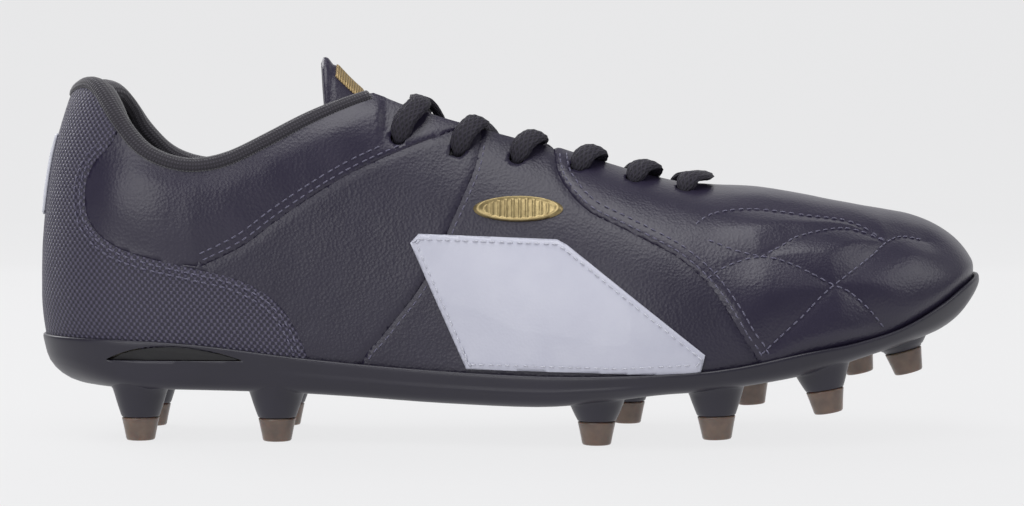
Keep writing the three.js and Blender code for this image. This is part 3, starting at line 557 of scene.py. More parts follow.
tree.links.new(tint.outputs["Result"], shader.inputs["Base Color"])
bump = add_node(tree, "ShaderNodeBump", inputs={
    "Height": lozenge.outputs["Result"], "Strength": 0.9, "Distance": 0.0004})
tree.links.new(bump.outputs["Normal"], shader.inputs["Normal"])


def panel_of(face):
    c = face.calc_center_median()
    side = "lateral" if c.y < crown_y(c.x * 1000) / 1000 else "medial"
    if inside(heel_region, c.x, c.z):
        return "heel_cover"
    if inside(vamp_region, c.x, c.z):
        return "vamp"
    if inside(collar_region, c.x, c.z):
        return f"collar_panel_{side}"
    if inside(front_region, c.x, c.z):
        return f"front_quarter_{side}"
    return f"rear_quarter_{side}"


def copy_of(bm, wanted):
    """A copy of the faces that pass a test."""
    part = bm.copy()
    part.normal_update()
    gone = [face for face in part.faces if not wanted(face)]
    bmesh.ops.delete(part, geom=gone, context="FACES")
    return part


def add_wrap(bm):
    around, up = bm.verts.layers.float["around"], bm.verts.layers.float["up"]
    layer = bm.loops.layers.uv.new("wrap")
    for face in bm.faces:
        for loop in face.loops:
            loop[layer].uv = (loop.vert[around], loop.vert[up])


def thicken(piece, thickness):
    wall = piece.modifiers.new("wall", "SOLIDIFY")
    wall.thickness = thickness
    wall.offset = -1
    return piece


panel_names = ["heel_cover", "vamp"] + [f"{kind}_{side}" for kind in ("collar_panel", "front_quarter",
    "rear_quarter")
                                        for side in ("lateral", "medial")]
for name in panel_names:
    part = copy_of(skin, lambda face: panel_of(face) == name)
    add_wrap(part)
    finish = woven if name == "heel_cover" else quarter_leather if "quarter" in name else smooth_leather
    piece = thicken(finished(part, name + "_skin", finish), 0.0012)
    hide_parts(name)
    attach(piece, "shoe")

# ---- Saddle panels ----
# Smooth white coated synthetic, one plain four-sided panel on each side, sewn over the quarters
# and caught under the plate. Its cut edge is turned and pressed, so it is slightly rounded.
saddle_outline = smooth_line(SADDLE + [SADDLE[0]], 1)[:-1]
saddle_edge = []
for a, b in zip(saddle_outline, saddle_outline[1:] + saddle_outline[:1]):
    saddle_edge += [a.lerp(b, s / 6) for s in range(6)]
white, tree, shader = new_material("white_coated_synthetic", Roughness=0.4, Coat_Weight=0.15)
place = add_node(tree, "ShaderNodeTexCoord").outputs["Object"]
scuff = add_node(tree, "ShaderNodeTexNoise", inputs={"Vector": place, "Scale": 120.0, "Detail": 6.0})
shade = add_node(tree, "ShaderNodeMix", {"data_type": "RGBA"}, {
    "Factor": scuff.outputs["Fac"], "A": linear("#b3b4c4"), "B": linear("#c0c1ce")})
tree.links.new(shade.outputs["Result"], shader.inputs["Base Color"])
pebble = add_node(tree, "ShaderNodeTexVoronoi", {"feature": "F1"}, {"Vector": place, "Scale": GRAIN})
bump = add_node(tree, "ShaderNodeBump", inputs={
    "Height": pebble.outputs["Distance"], "Strength": 0.2, "Distance": 0.00015})
tree.links.new(bump.outputs["Normal"], shader.inputs["Normal"])


def overlay(outline, side, rise, rounding):
    """A thin piece laid on the shaped skin inside a side-view outline, with its edge rolled down."""
    low_x, high_x = min(p.x for p in outline) - 0.004, max(p.x for p in outline) + 0.004
    low_z, high_z = min(p.y for p in outline) - 0.004, max(p.y for p in outline) + 0.004

    def close_by(face):
        c = face.calc_center_median()
        return (c.y < 0) == (side < 0) and low_x < c.x < high_x and low_z < c.z < high_z

    part = copy_of(skin, close_by)
    cut_along(part, outline + [outline[0]])
    gone = [f for f in part.faces if not inside(outline, f.calc_center_median().x, f.calc_center_median().z)]
    bmesh.ops.delete(part, geom=gone, context="FACES")
    part.normal_update()
    edge = KDTree(sum(1 for v in part.verts if v.is_boundary))
    for index, vert in enumerate(v for v in part.verts if v.is_boundary):
        edge.insert(vert.co, index)
    edge.balance()
    for vert in part.verts:
        gap = edge.find(vert.co)[2] * 1000
        hit, normal = plain_skin.find_nearest(vert.co)[:2]
        height = rise + 0.16 * noise.noise(hit * 55) - 0.45 * math.exp(-(gap / rounding) ** 2)
        vert.co = hit + normal * height / 1000
    return part


for side, label in ((-1, "lateral"), (1, "medial")):
    part = overlay(saddle_edge, side, 1.25, 0.7)
    add_wrap(part)
    piece = thicken(finished(part, f"saddle_{label}_skin", white), 0.0009)
    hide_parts(f"saddle_{label}")
    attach(piece, "shoe")

# ---- Oval badge ----
# A small moulded badge in metallic gold, an oval rim round a plain field of upright ribs.
BADGE_X, BADGE_Z, BADGE_LONG, BADGE_HIGH = 2.4, 70.8, 27, 7.6
gold, tree, shader = new_material("gold_lacquered_moulding", Roughness=0.38, Metallic=0.75)
place = add_node(tree, "ShaderNodeTexCoord").outputs["Object"]
patina = add_node(tree, "ShaderNodeTexNoise", inputs={"Vector": place, "Scale": 700.0, "Detail": 4.0})
shade = add_node(tree, "ShaderNodeMix", {"data_type": "RGBA"}, {
    "Factor": patina.outputs["Fac"], "A": linear("#7d6c49"), "B": linear("#b5a376")})
tree.links.new(shade.outputs["Result"], shader.inputs["Base Color"])
badge_centre = Vector((BADGE_X + CENTRING.x, BADGE_Z)) / 1000
bm = bmesh.new()
bmesh.ops.create_grid(bm, x_segments=120, y_segments=34, size=1)
for vert in bm.verts:
    u, v = vert.co.x, vert.co.y
    radius = math.hypot(u, v)
    if radius > 1e-6:
        square = max(abs(u), abs(v)) / radius
        u, v = u * square, v * square
    out = math.hypot(u, v)
    flat = badge_centre + Vector((u * BADGE_LONG, v * BADGE_HIGH)) / 2000
    hit, normal = shaped_skin.ray_cast(Vector((flat.x, -0.2, flat.y)), Vector((0, 1, 0)))[:2]
    rim_height = 0.45 * math.exp(-((out - 0.88) / 0.07) ** 2)
    ribs = 0.28 * max(0, math.sin(u * math.pi * 13)) * (1 if out < 0.76 else 0)
    vert.co = hit + normal * (0.55 + rim_height + ribs - 0.45 * ease(out, 0.93, 1)) / 1000
piece = thicken(finished(bm, "oval_badge_moulding", gold), 0.0006)
if piece.data.polygons[0].normal.y > 0:
    piece.data.flip_normals()
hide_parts("oval_badge")
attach(piece, "shoe")

# ---- Lining ----
# Black brushed textile that faces the inside of the shoe, over foam that thickens at the ankle.
LINING_DEPTH = 3.2
LINING = 0.9
COLLAR_PADDING = 3


def padding(co):
    return COLLAR_PADDING * ease(co.z * 1000, 62, 84) * ease(-co.x * 1000, 48, 75)


def textile(name, colours, thread, roughness=0.85, sheen=0.25, depth=0.7):
    """A plain woven or knitted cloth: fine crossing threads, slightly fuzzy."""
    material, tree, shader = new_material(name, Roughness=roughness, Sheen_Weight=sheen)
    wrap = add_node(tree, "ShaderNodeUVMap", {"uv_map": "wrap"}).outputs["UV"]
    waves = [add_node(tree, "ShaderNodeTexWave", {"bands_direction": way}, {
        "Vector": wrap, "Scale": 0.314 / thread, "Distortion": 0.4}) for way in ("X", "Y")]
    weave = add_node(tree, "ShaderNodeMath", {"operation": "MULTIPLY"}, {
        0: waves[0].outputs["Fac"], 1: waves[1].outputs["Fac"]})
    shade = add_node(tree, "ShaderNodeMix", {"data_type": "RGBA"}, {
        "Factor": weave.outputs[0], "A": linear(colours[0]), "B": linear(colours[1])})
    tree.links.new(shade.outputs["Result"], shader.inputs["Base Color"])
    bump = add_node(tree, "ShaderNodeBump", inputs={
        "Height": weave.outputs[0], "Strength": depth, "Distance": 0.0003})
    tree.links.new(bump.outputs["Normal"], shader.inputs["Normal"])
    return material


lining_cloth = textile("brushed_polyester_lining", ["#17161b", "#2c2a31"], 0.0011)
bm = last_skin(320, 60)
moves = [(v, v.normal.copy(), padding(v.co)) for v in bm.verts]
for vert, normal, pad in moves:
    vert.co -= normal * (LINING_DEPTH + pad) / 1000
bm.normal_update()
cut_openings(bm)
gone = [f for f in bm.faces if f.calc_center_median().z < line_height(underside,
    f.calc_center_median().x) + 0.0042]
bmesh.ops.delete(bm, geom=gone, context="FACES")
for side in (-1, 1):
    for x in EYELET_X:
        punch(bm, on_top(x, side, EYELET_INSET, -LINING_DEPTH)[0], 0.003)
add_wrap(bm)
piece = thicken(finished(bm, "lining_cloth", lining_cloth), LINING / 1000)
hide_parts("lining")
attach(piece, "shoe")

# ---- Collar binding ----
# A strip of dark tricot sewn round the top of the collar, rolled over its edge and turned in
# over the foam.
binding_cloth = textile("tricot_binding", ["#201d25", "#3a3641"], 0.0009, depth=0.8)


def sweep(name, path, acrosses, section_at, material):
    """A closed section carried along a path; section_at gives its (across, up) points in metres."""
    bm = bmesh.new()
    layer = bm.loops.layers.uv.new("wrap")
    rings = []
    travelled = 0
    stops = []
    for k, point in enumerate(path):
        forward = (path[min(k + 1, len(path) - 1)] - path[max(k - 1, 0)]).normalized()
        across = (acrosses[k] - forward * acrosses[k].dot(forward)).normalized()
        above = forward.cross(across)
        rings.append([bm.verts.new(point + across * a + above * b) for a, b in section_at(k, travelled)])
        stops.append(travelled)
        if k + 1 < len(path):
            travelled += (path[k + 1] - point).length
    girth = len(rings[0])
    for k in range(len(rings) - 1):
        for i in range(girth):
            face = bm.faces.new((rings[k][i], rings[k][(i + 1) % girth], rings[k + 1][(i + 1) % girth],
                rings[k + 1][i]))
            corners = ((k, i), (k, i + 1), (k + 1, i + 1), (k + 1, i))
            for loop, (row, spot) in zip(face.loops, corners):
                loop[layer].uv = (stops[row], spot / girth * 0.0156)
    bm.faces.new(rings[0][::-1])
    bm.faces.new(rings[-1])
    bmesh.ops.recalc_face_normals(bm, faces=bm.faces)
    return finished(bm, name, material)


def collar_path():
    sides = []
    line = [p for p in collar_edge if p.x > -0.1365]
    for side in (-1, 1):
        hits = draped([p + Vector((0, -0.0002)) for p in line], side, shaped_skin, 0.0015)
        sides.append([h for h in hits if abs(h[0].y - crown_y(h[0].x * 1000) / 1000) > 0.0155])
    back = []
    for k in range(1, 16):
        y = (-1 + k / 8) * min(abs(sides[0][0][0].y), abs(sides[1][0][0].y))
        height = sides[0][0][0].z
        for _ in range(3):
            hit, normal = shaped_skin.ray_cast(Vector((-0.3, y, height)), Vector((1, 0, 0)))[:2]
            height = line_height(collar_edge, hit.x) - 0.0002
        back.append((hit, normal))
    return sides[0][::-1] + back + sides[1]


collar_run = collar_path()
for _ in range(6):
    collar_run = [collar_run[0]] + [((a[0] + b[0] * 2 + c[0]) / 4, (a[1] + b[1] + c[1]).normalized())
                                    for a, b, c in zip(collar_run, collar_run[1:],
                                        collar_run[2:])] + [collar_run[-1]]


def binding_section(k, travelled):
    at_back = ease(-collar_run[k][0].x * 1000, 118, 134)
    wall = LINING_DEPTH + LINING + padding(collar_run[k][0]) + 0.5 + 0.9 * at_back
    outside = [(0.2, -2.1), (0.75, -1.6), (0.95, -0.6), (0.8, 0.6), (0.1, 1.7), (-1.0, 2.3), (-2.4, 2.6)]
    inner = [(-wall + 2.0, 2.3), (-wall + 0.7, 1.6), (-wall - 0.1, 0.3), (-wall - 0.4, -1.6),
        (-wall + 0.1, -3.0)]
    inward = [(-wall + 0.6, -2.4), (-wall + 0.9, -0.5), (-1.2, -0.5), (-0.3, -1.0), (-0.1, -1.9)]
    return [(a / 1000, b / 1000) for a, b in outside + inner + inward]


piece = sweep("collar_binding_roll", [p for p, n in collar_run], [n for p, n in collar_run],
              binding_section, binding_cloth)
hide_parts("collar_binding")
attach(piece, "shoe")


# ---- Stud plate ----
# One injection-moulded black nylon plate: a rim that cups the upper, a floor, two eye-shaped
# windows over the heel cushions, long ridges under the waist and eleven conical stud bases.
PLATE_COLUMNS = 420
PLATE_LIP = [[0.2, 0.9], [0.35, 0.35], [0.6, 0.08], [0.95, 0], [1.35, 0.1], [1.7, 0.4], [1.86, 0.9]]
PLATE_OFFSET = 1.9
PLATE_CORNER = 3.2
EYE_BACK, EYE_FRONT, EYE_LOW, EYE_TOP = -122, -81, 25, 29.3
nylon, tree, shader = new_material("moulded_black_nylon", Roughness=0.36, Specular_IOR_Level=0.5)
place = add_node(tree, "ShaderNodeTexCoord").outputs["Object"]
grit = add_node(tree, "ShaderNodeTexNoise", inputs={"Vector": place, "Scale": 2500.0, "Detail": 3.0})
cloud = add_node(tree, "ShaderNodeTexNoise", inputs={"Vector": place, "Scale": 60.0, "Detail": 5.0})
shade = add_node(tree, "ShaderNodeMix", {"data_type": "RGBA"}, {
    "Factor": cloud.outputs["Fac"], "A": linear("#181622"), "B": linear("#242130")})
tree.links.new(shade.outputs["Result"], shader.inputs["Base Color"])
gloss = add_node(tree, "ShaderNodeMapRange",
    inputs={"Value": cloud.outputs["Fac"], "To Min": 0.3, "To Max": 0.46})
tree.links.new(gloss.outputs["Result"], shader.inputs["Roughness"])
bump = add_node(tree, "ShaderNodeBump",
    inputs={"Height": grit.outputs["Fac"], "Strength": 0.25, "Distance": 0.00008})
tree.links.new(bump.outputs["Normal"], shader.inputs["Normal"])


def rib_samples(station, side):
    """Points up the lower part of one rib of the last, with the surface's normal at each, in metres."""
    numbers = rib(station, side)
    samples = []
    for k in range(70):
        point = on_rib(numbers, 0.62 * k / 69) / 1000
        samples.append((point, plain_skin.find_nearest(point)[1]))
    return samples


def at_height(samples, offset, line, lift):
    """Where a rib, moved out by offset millimetres, crosses a side-view line raised by lift millimetres."""
    last = None
    for point, normal in samples:
        moved = point + normal * offset / 1000
        gap = moved.z - line_height(line, moved.x) - lift / 1000
        if gap >= 0:
            if last is None:
                return moved
            return last[0].lerp(moved, -last[1] / (gap - last[1]))
        last = (moved, gap)
    return last[0]


def under_height(x, y):
    """Height of the plate's underside, with two long ridges under the waist."""
    side = abs(y * 1000 - CENTRING.y) - 9
    ridge = 1.0 * math.exp(-(side / 1.7) ** 2) * ease(x * 1000, -62, -48) * (1 - ease(x * 1000, 2, 16))
    return line_height(underside, x) - ridge / 1000


half = PLATE_COLUMNS // 2
foot_line = [on_rib(rib(i / 400, -1), LOW_SHARE) for i in range(401)]
stations = evenly(foot_line, half)[0]
WALL_ROWS = 9
CORNER_ROWS = 6
FLOOR_ROWS = 16
columns = []
for i in range(PLATE_COLUMNS):
    side = -1 if i <= half else 1
    samples = rib_samples(stations[i] if i <= half else stations[PLATE_COLUMNS - i], side)
    line = [at_height(samples, offset, rim_edge, -drop) for offset, drop in PLATE_LIP]
    top = line[-1]
    tall = (top.z - line_height(underside, top.x)) * 1000
    heel_round = 1 - ease(top.x * 1000, -140, -112)
    corner = min(PLATE_CORNER + 5 * heel_round, tall * (0.55 + 0.2 * heel_round))
    for k in range(1, WALL_ROWS + 1):
        rise = tall + (corner - tall) * k / WALL_ROWS
        bead = 0.45 * math.exp(-((rise - tall * 0.52) / 0.7) ** 2) * ease(top.x * 1000, -74, -60) * (
            1 - ease(top.x * 1000, 30, 50))
        line.append(at_height(samples, PLATE_OFFSET + bead, underside, rise))
    for k in range(1, CORNER_ROWS + 1):
        angle = k / CORNER_ROWS * math.pi / 2
        line.append(at_height(samples, PLATE_OFFSET - corner * (1 - math.cos(angle)), underside,
                              corner * (1 - math.sin(angle))))
    edge = line[-1]
    middle = Vector((edge.x * 0.84, along(CENTRE_LINE, edge.x * 840) / 1000 + CENTRING.y / 1000, 0))
    for k in range(1, FLOOR_ROWS + 1):
        spot = edge.lerp(middle, k / FLOOR_ROWS)
        line.append(Vector((spot.x, spot.y, under_height(spot.x, spot.y))))
    columns.append(line)
rows = len(columns[0]) - 1
plate = bmesh.new()
bmesh.ops.create_grid(plate, x_segments=PLATE_COLUMNS, y_segments=rows, size=1)
for vert in plate.verts:
    i = round((vert.co.x + 1) / 2 * PLATE_COLUMNS) % PLATE_COLUMNS
    vert.co = columns[i][round((vert.co.y + 1) / 2 * rows)]
bmesh.ops.remove_doubles(plate, verts=plate.verts, dist=4e-5)
bmesh.ops.recalc_face_normals(plate, faces=plate.faces)
lowest = min(plate.faces, key=lambda f: f.calc_center_median().z)
if lowest.normal.z > 0:
    bmesh.ops.reverse_faces(plate, faces=plate.faces)
eye = [Vector((EYE_BACK, EYE_LOW)), Vector((EYE_FRONT, EYE_LOW))]
peak = Vector(((EYE_BACK + EYE_FRONT) / 2 - 4, 2 * EYE_TOP - EYE_LOW))
for k in range(17):
    t = k / 16
    eye.append(eye[1] * (1 - t) ** 2 + peak * 2 * t * (1 - t) + eye[0] * t * t + Vector((0, 0.4)))
eye = [Vector((p.x + CENTRING.x, p.y)) / 1000 for p in eye]
cut_along(plate, eye + [eye[0]])
window = [f for f in plate.faces if inside(eye, f.calc_center_median().x, f.calc_center_median().z)]
bmesh.ops.delete(plate, geom=window, context="FACES")
plate_skin = BVHTree.FromBMesh(plate)
piece = thicken(finished(plate, "stud_plate_moulding", nylon), 0.0014)
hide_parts("stud_plate")
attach(piece, "shoe")

# Stud bases: name, place of the stud's foot, and how far it leans with the sole, in degrees.
STUDS = [["heel_rear_lateral", -113, -22, 0, 0], ["heel_front_lateral", -71, -25, 0, 0],
         ["ball_rear_lateral", 26, -36, 0, 0], ["ball_middle_lateral", 62, -39, 2, -2],
         ["ball_front_lateral", 96, -34, 9.5, -10], ["toe_lateral", 123, -14, 20, -15],
         ["heel_rear_medial", -115, 22, 0, 0], ["heel_front_medial", -72, 23, 0, 0],
         ["ball_rear_medial", 38, 29, 0, 0], ["ball_middle_medial", 79, 36, 5.4, -4],
         ["toe_medial", 113, 25, 16.6, -13]]


def spun(profile, steps=48):
    """A round shape from (radius, height) points in millimetres, turned about the vertical."""
    bm = bmesh.new()
    verts = [bm.verts.new((radius / 1000, 0, height / 1000)) for radius, height in profile]
    edges = [bm.edges.new(pair) for pair in zip(verts, verts[1:])]
    bmesh.ops.spin(bm, geom=verts + edges, cent=(0, 0, 0), axis=(0, 0, 1), angle=math.tau, steps=steps,
                   use_merge=True, use_duplicate=False)
    bmesh.ops.remove_doubles(bm, verts=bm.verts, dist=1e-6)
    bmesh.ops.recalc_face_normals(bm, faces=bm.faces)
    return bm


def stud_frame(x, y, foot, lean):
    """From a stud's own frame, with its foot at the origin, to the shoe's."""
    return Matrix.Translation(Vector((x, y, foot)) / 1000 + CENTRING / 1000) @ Matrix.Rotation(
        math.radians(lean), 4, "Y")


for name, x, y, foot, lean in STUDS:
    turned = stud_frame(x, y, foot, lean)
    root = line_height(underside, (x + CENTRING.x) / 1000) * 1000 - foot
    tall = root - 7.3
    base = spun([(0, 7.2), (5.3, 7.2), (5.75, 7.35), (5.95, 7.8), (6.5, 7.3 + tall * 0.25),
        (7.2, 7.3 + tall * 0.5),
                 (7.85, 7.3 + tall * 0.72), (8.4, 7.3 + tall * 0.87), (8.9, 7.3 + tall * 0.96), (9.5, root)])
    for vert in base.verts:
        radius = math.hypot(vert.co.x, vert.co.y) * 1000
        flat = turned @ vert.co
        above = plate_skin.ray_cast(Vector((flat.x, flat.y, -0.05)), Vector((0, 0, 1)))[0]
        if above and radius > 7.4:
            flat.z += (above.z + 0.0002 - flat.z) * ease(radius, 7.4, 9.4)
        vert.co = flat
    piece = finished(base, f"stud_base_{name}", nylon)
    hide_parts("stud_plate")
    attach(piece, "shoe")

# ---- Stud tips ----
# Eleven caps of clear bronze-tinted urethane, moulded on to the stud bases, with a flat worn foot.
bronze, tree, shader = new_material("clear_bronze_urethane", Roughness=0.28, IOR=1.5, Transmission_Weight=0.25,
                                    Subsurface_Weight=0.35, Subsurface_Scale=0.004)
place = add_node(tree, "ShaderNodeTexCoord").outputs["Object"]
parts = add_node(tree, "ShaderNodeSeparateXYZ", inputs={"Vector": place})
haze = add_node(tree, "ShaderNodeTexNoise", inputs={"Vector": place, "Scale": 260.0, "Detail": 4.0})
shade = add_node(tree, "ShaderNodeMix", {"data_type": "RGBA"}, {
    "Factor": haze.outputs["Fac"], "A": linear("#4e4140"), "B": linear("#8d7868")})
tree.links.new(shade.outputs["Result"], shader.inputs["Base Color"])
for name, x, y, foot, lean in STUDS:
    tip = spun([(0, 0), (3.7, 0), (4.15, 0.12), (4.4, 0.55), (4.75, 2.4), (5.2, 4.6), (5.62, 6.5), (5.68, 6.85),
                (5.45, 7.05), (0, 7.05)])
    bmesh.ops.transform(tip, matrix=stud_frame(x, y, foot, lean), verts=tip.verts)
    piece = finished(tip, f"bronze_tip_{name}", bronze)
    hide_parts(f"stud_tip_{name}")
    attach(piece, "shoe")


# ---- Tongue ----
# A padded leather tongue: two layers of the upper's leather over foam, sewn round the edge, with its
# root caught under the vamp and its free top standing above the laces.
TONGUE_FRONT, TONGUE_TIP, TONGUE_HALF = 57, -59, 17.5
TONGUE_OUTSIDE, TONGUE_INSIDE, TONGUE_EDGE = -9.4, -15.0, 2.6


def under_crown(x, y, offset):
    """A point of the last's surface moved by offset millimetres, directly over or under flat x and y."""
    wanted = Vector((x + CENTRING.x, y + crown_y(x))) / 1000
    aim = wanted.copy()
    for _ in range(5):
        hit, normal = plain_skin.ray_cast(Vector((aim.x, aim.y, 0.25)), Vector((0, 0, -1)))[:2]
        moved = hit + normal * offset / 1000
        aim += wanted - moved.xy
    return moved


def tongue_lift(x, y):
    """The middle of the free top springs up a little, in millimetres."""
    return 3.2 * ease(-x, 43, 59) * (1 - ease(abs(y), 5, 12)) - 1.0 * ease(abs(y), 9, 14)


def tongue_half(x):
    """Half the tongue's width, with its rounded top."""
    corner = min(1, max(0, (x - TONGUE_TIP) / 10))
    return TONGUE_HALF * math.sqrt(1 - (1 - corner) ** 2) * 0.6 + TONGUE_HALF * 0.4 * min(1, corner * 3) + 0.01


bm = bmesh.new()
TONGUE_LONG, TONGUE_WIDE = 150, 44
bmesh.ops.create_grid(bm, x_segments=TONGUE_LONG, y_segments=TONGUE_WIDE, size=1)
bmesh.ops.duplicate(bm, geom=bm.verts[:] + bm.edges[:] + bm.faces[:])
per_layer = len(bm.verts) // 2
for index, vert in enumerate(bm.verts):
    share = (vert.co.x + 1) / 2
    across = math.sin(vert.co.y * math.pi / 2)
    x = TONGUE_TIP + (TONGUE_FRONT - TONGUE_TIP) * share
    half_width = tongue_half(x)
    gap = min(x - TONGUE_TIP, TONGUE_FRONT - x, half_width * (1 - abs(across)))
    bulge = TONGUE_EDGE * (1 - math.sqrt(max(0, 1 - (1 - min(1, max(0, gap) / TONGUE_EDGE)) ** 2)))
    seam = 0.5 * math.exp(-((gap - 3.6) / 0.6) ** 2)
    inset = bulge + (seam if gap > 2 else 0)
    offset = TONGUE_OUTSIDE - inset if index < per_layer else TONGUE_INSIDE + inset * 0.95
    offset += tongue_lift(x, across * half_width)
    vert.co = under_crown(x, across * half_width, offset)
bmesh.ops.remove_doubles(bm, verts=bm.verts, dist=0.0003)
bmesh.ops.recalc_face_normals(bm, faces=bm.faces)
tongue_piece = finished(bm, "padded_tongue", smooth_leather)
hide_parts("tongue_face", "tongue_padding", "tongue_backing", "tongue_top")
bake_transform(tongue_piece, "tongue", "tongue_tip", (-0.0385, 0, 0.0988), (-0.0462, 0, 0.1036))

# A small woven label in metallic thread, sewn flat on the tongue's free top.
label_thread, tree, shader = new_material("metallic_gold_weave", Roughness=0.42, Metallic=0.5)
wrap = add_node(tree, "ShaderNodeUVMap", {"uv_map": "wrap"}).outputs["UV"]
wave = add_node(tree, "ShaderNodeTexWave", {"bands_direction": "X"},
    {"Vector": wrap, "Scale": 450.0, "Distortion": 0.6})
shade = add_node(tree, "ShaderNodeMix", {"data_type": "RGBA"}, {
    "Factor": wave.outputs["Fac"], "A": linear("#7d6a48"), "B": linear("#ad9568")})
tree.links.new(shade.outputs["Result"], shader.inputs["Base Color"])
bump = add_node(tree, "ShaderNodeBump",
    inputs={"Height": wave.outputs["Fac"], "Strength": 0.6, "Distance": 0.0002})
tree.links.new(bump.outputs["Normal"], shader.inputs["Normal"])
bm = bmesh.new()
bmesh.ops.create_grid(bm, x_segments=20, y_segments=30, size=1)
layer = bm.loops.layers.uv.new("wrap")
for vert in bm.verts:
    edge = max(abs(vert.co.x), abs(vert.co.y))
    x, y = -49.8 + 4.3 * vert.co.x, 1 + 6 * vert.co.y
    vert.co = under_crown(x, y, tongue_lift(x, y) - 8.75 - 0.35 * ease(edge, 0.85, 1))
for face in bm.faces:
    for loop in face.loops:
        loop[layer].uv = (loop.vert.co.x, loop.vert.co.y)
bmesh.ops.recalc_face_normals(bm, faces=bm.faces)
if max(bm.faces, key=lambda f: f.calc_area()).normal.z < 0:
    bmesh.ops.reverse_faces(bm, faces=bm.faces)
piece = thicken(finished(bm, "tongue_label_woven", label_thread), 0.0008)
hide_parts("tongue_label")
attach(piece, "tongue_tip")

# ---- Lace ----
# One flat-oval braided polyester lace, threaded criss-cross through all twelve eyelets from the toe
# end up, with both ends turned in through the top eyelets and tipped with plastic aglets.
LACE_RADIUS, LACE_CLEARANCE, AGLET_LENGTH = 1.5, 0.8, 10
LACE_WIDE, LACE_THICK = 6.6, 2.6
OVER_WALL = LACE_RADIUS + LACE_CLEARANCE
WALL = LINING_DEPTH + LINING
UNDER_WALL = -(WALL + OVER_WALL)
LOW_CROSSING = -(9.4 - OVER_WALL)
HIGH_CROSSING = LOW_CROSSING + 2 * LACE_RADIUS + LACE_CLEARANCE


def lace_at(x, side, inset, offset):
    return on_top(x, side, inset, offset)[0]


def thread_eyelet(x, side):
    """The loop over the edge of the opening, down through one eyelet and back underneath."""
    dip = 1.6 if x == EYELET_X[-1] else 1.1
    return [lace_at(x + 5.5, side, 0.5, OVER_WALL + 0.9),
        lace_at(x + 1.4, side, EYELET_INSET - 2.6, OVER_WALL + 0.4),
            lace_at(x, side, EYELET_INSET + 0.1, -WALL / 2), lace_at(x - 0.3, side, EYELET_INSET - 2,
                UNDER_WALL - dip),
            lace_at(x - 1.5, side, 0, UNDER_WALL - 0.6)]


def lace_half(side, crossing):
    points = thread_eyelet(EYELET_X[0], side)
    for ahead_x, x in zip(EYELET_X, EYELET_X[1:]):
        middle = (ahead_x + x) / 2
        points.append(lace_at(middle + 1.8, side, 3 - throat_half(middle), crossing))
        side = -side
        points.append(lace_at(middle - 1.8, side, 3 - throat_half(middle), crossing))
        points += thread_eyelet(x, side)
    points.pop()
    for x, inset in [[-40, 8.7], [-45, 9.2], [-49, 9.2]]:
        pad = padding(lace_at(x, side, inset, 0))
        points.append(lace_at(x, side, inset, UNDER_WALL - pad - 1))
    return points, side


def centripetal(points, spacing):
    """A smooth curve through the points, sampled at an even spacing in metres."""
    dense = []
    padded_points = [points[0] * 2 - points[1]] + points + [points[-1] * 2 - points[-2]]
    for a, b, c, d in zip(padded_points, padded_points[1:], padded_points[2:], padded_points[3:]):
        t0 = 0
        t1 = t0 + max(1e-6, (b - a).length) ** 0.5
        t2 = t1 + max(1e-6, (c - b).length) ** 0.5
        t3 = t2 + max(1e-6, (d - c).length) ** 0.5
        for s in range(24):
            t = t1 + (t2 - t1) * s / 24
            ab = a.lerp(b, (t - t0) / (t1 - t0))
            bc = b.lerp(c, (t - t1) / (t2 - t1))
            cd = c.lerp(d, (t - t2) / (t3 - t2))
            dense.append(ab.lerp(bc, (t - t0) / (t2 - t0)).lerp(bc.lerp(cd, (t - t1) / (t3 - t1)),
                (t - t1) / (t2 - t1)))
    dense.append(points[-1])
    places, length = evenly(dense, round(sum((q - p).length for p, q in zip(dense, dense[1:])) / spacing))
    even = []
    for place in places:
        k = min(len(dense) - 2, int(place * (len(dense) - 1)))
        even.append(dense[k].lerp(dense[k + 1], place * (len(dense) - 1) - k))
    return even, length


first, first_side = lace_half(-1, LOW_CROSSING)
second, second_side = lace_half(1, HIGH_CROSSING)
lace_path, lace_length = centripetal(first[::-1] + second, 0.0006)
print("lace length", round(lace_length, 4))
lace_fibre, tree, shader = new_material("braided_polyester_lace", Roughness=0.75, Sheen_Weight=0.0)
wrap = add_node(tree, "ShaderNodeUVMap", {"uv_map": "wrap"}).outputs["UV"]
parts = add_node(tree, "ShaderNodeSeparateXYZ", inputs={"Vector": wrap})
strands = []
for sign in (1, -1):
    lean = add_node(tree, "ShaderNodeMath", {"operation": "MULTIPLY_ADD"}, {
        0: parts.outputs["X"], 1: sign * 0.45, 2: parts.outputs["Y"]})
    turns = add_node(tree, "ShaderNodeMath", {"operation": "MULTIPLY"},
        {0: lean.outputs[0], 1: math.tau / 0.0012})
    strands.append(add_node(tree, "ShaderNodeMath", {"operation": "SINE"}, {0: turns.outputs[0]}))
braid = add_node(tree, "ShaderNodeMath", {"operation": "MAXIMUM"},
    {0: strands[0].outputs[0], 1: strands[1].outputs[0]})
plait = add_node(tree, "ShaderNodeMapRange",
    inputs={"Value": braid.outputs[0], "From Min": -1.0, "From Max": 1.0})
shade = add_node(tree, "ShaderNodeMix", {"data_type": "RGBA"}, {
    "Factor": plait.outputs["Result"], "A": linear("#0a0811"), "B": linear("#211d2b")})
tree.links.new(shade.outputs["Result"], shader.inputs["Base Color"])
bump = add_node(tree, "ShaderNodeBump",
    inputs={"Height": plait.outputs["Result"], "Strength": 0.8, "Distance": 0.0003})
tree.links.new(bump.outputs["Normal"], shader.inputs["Normal"])

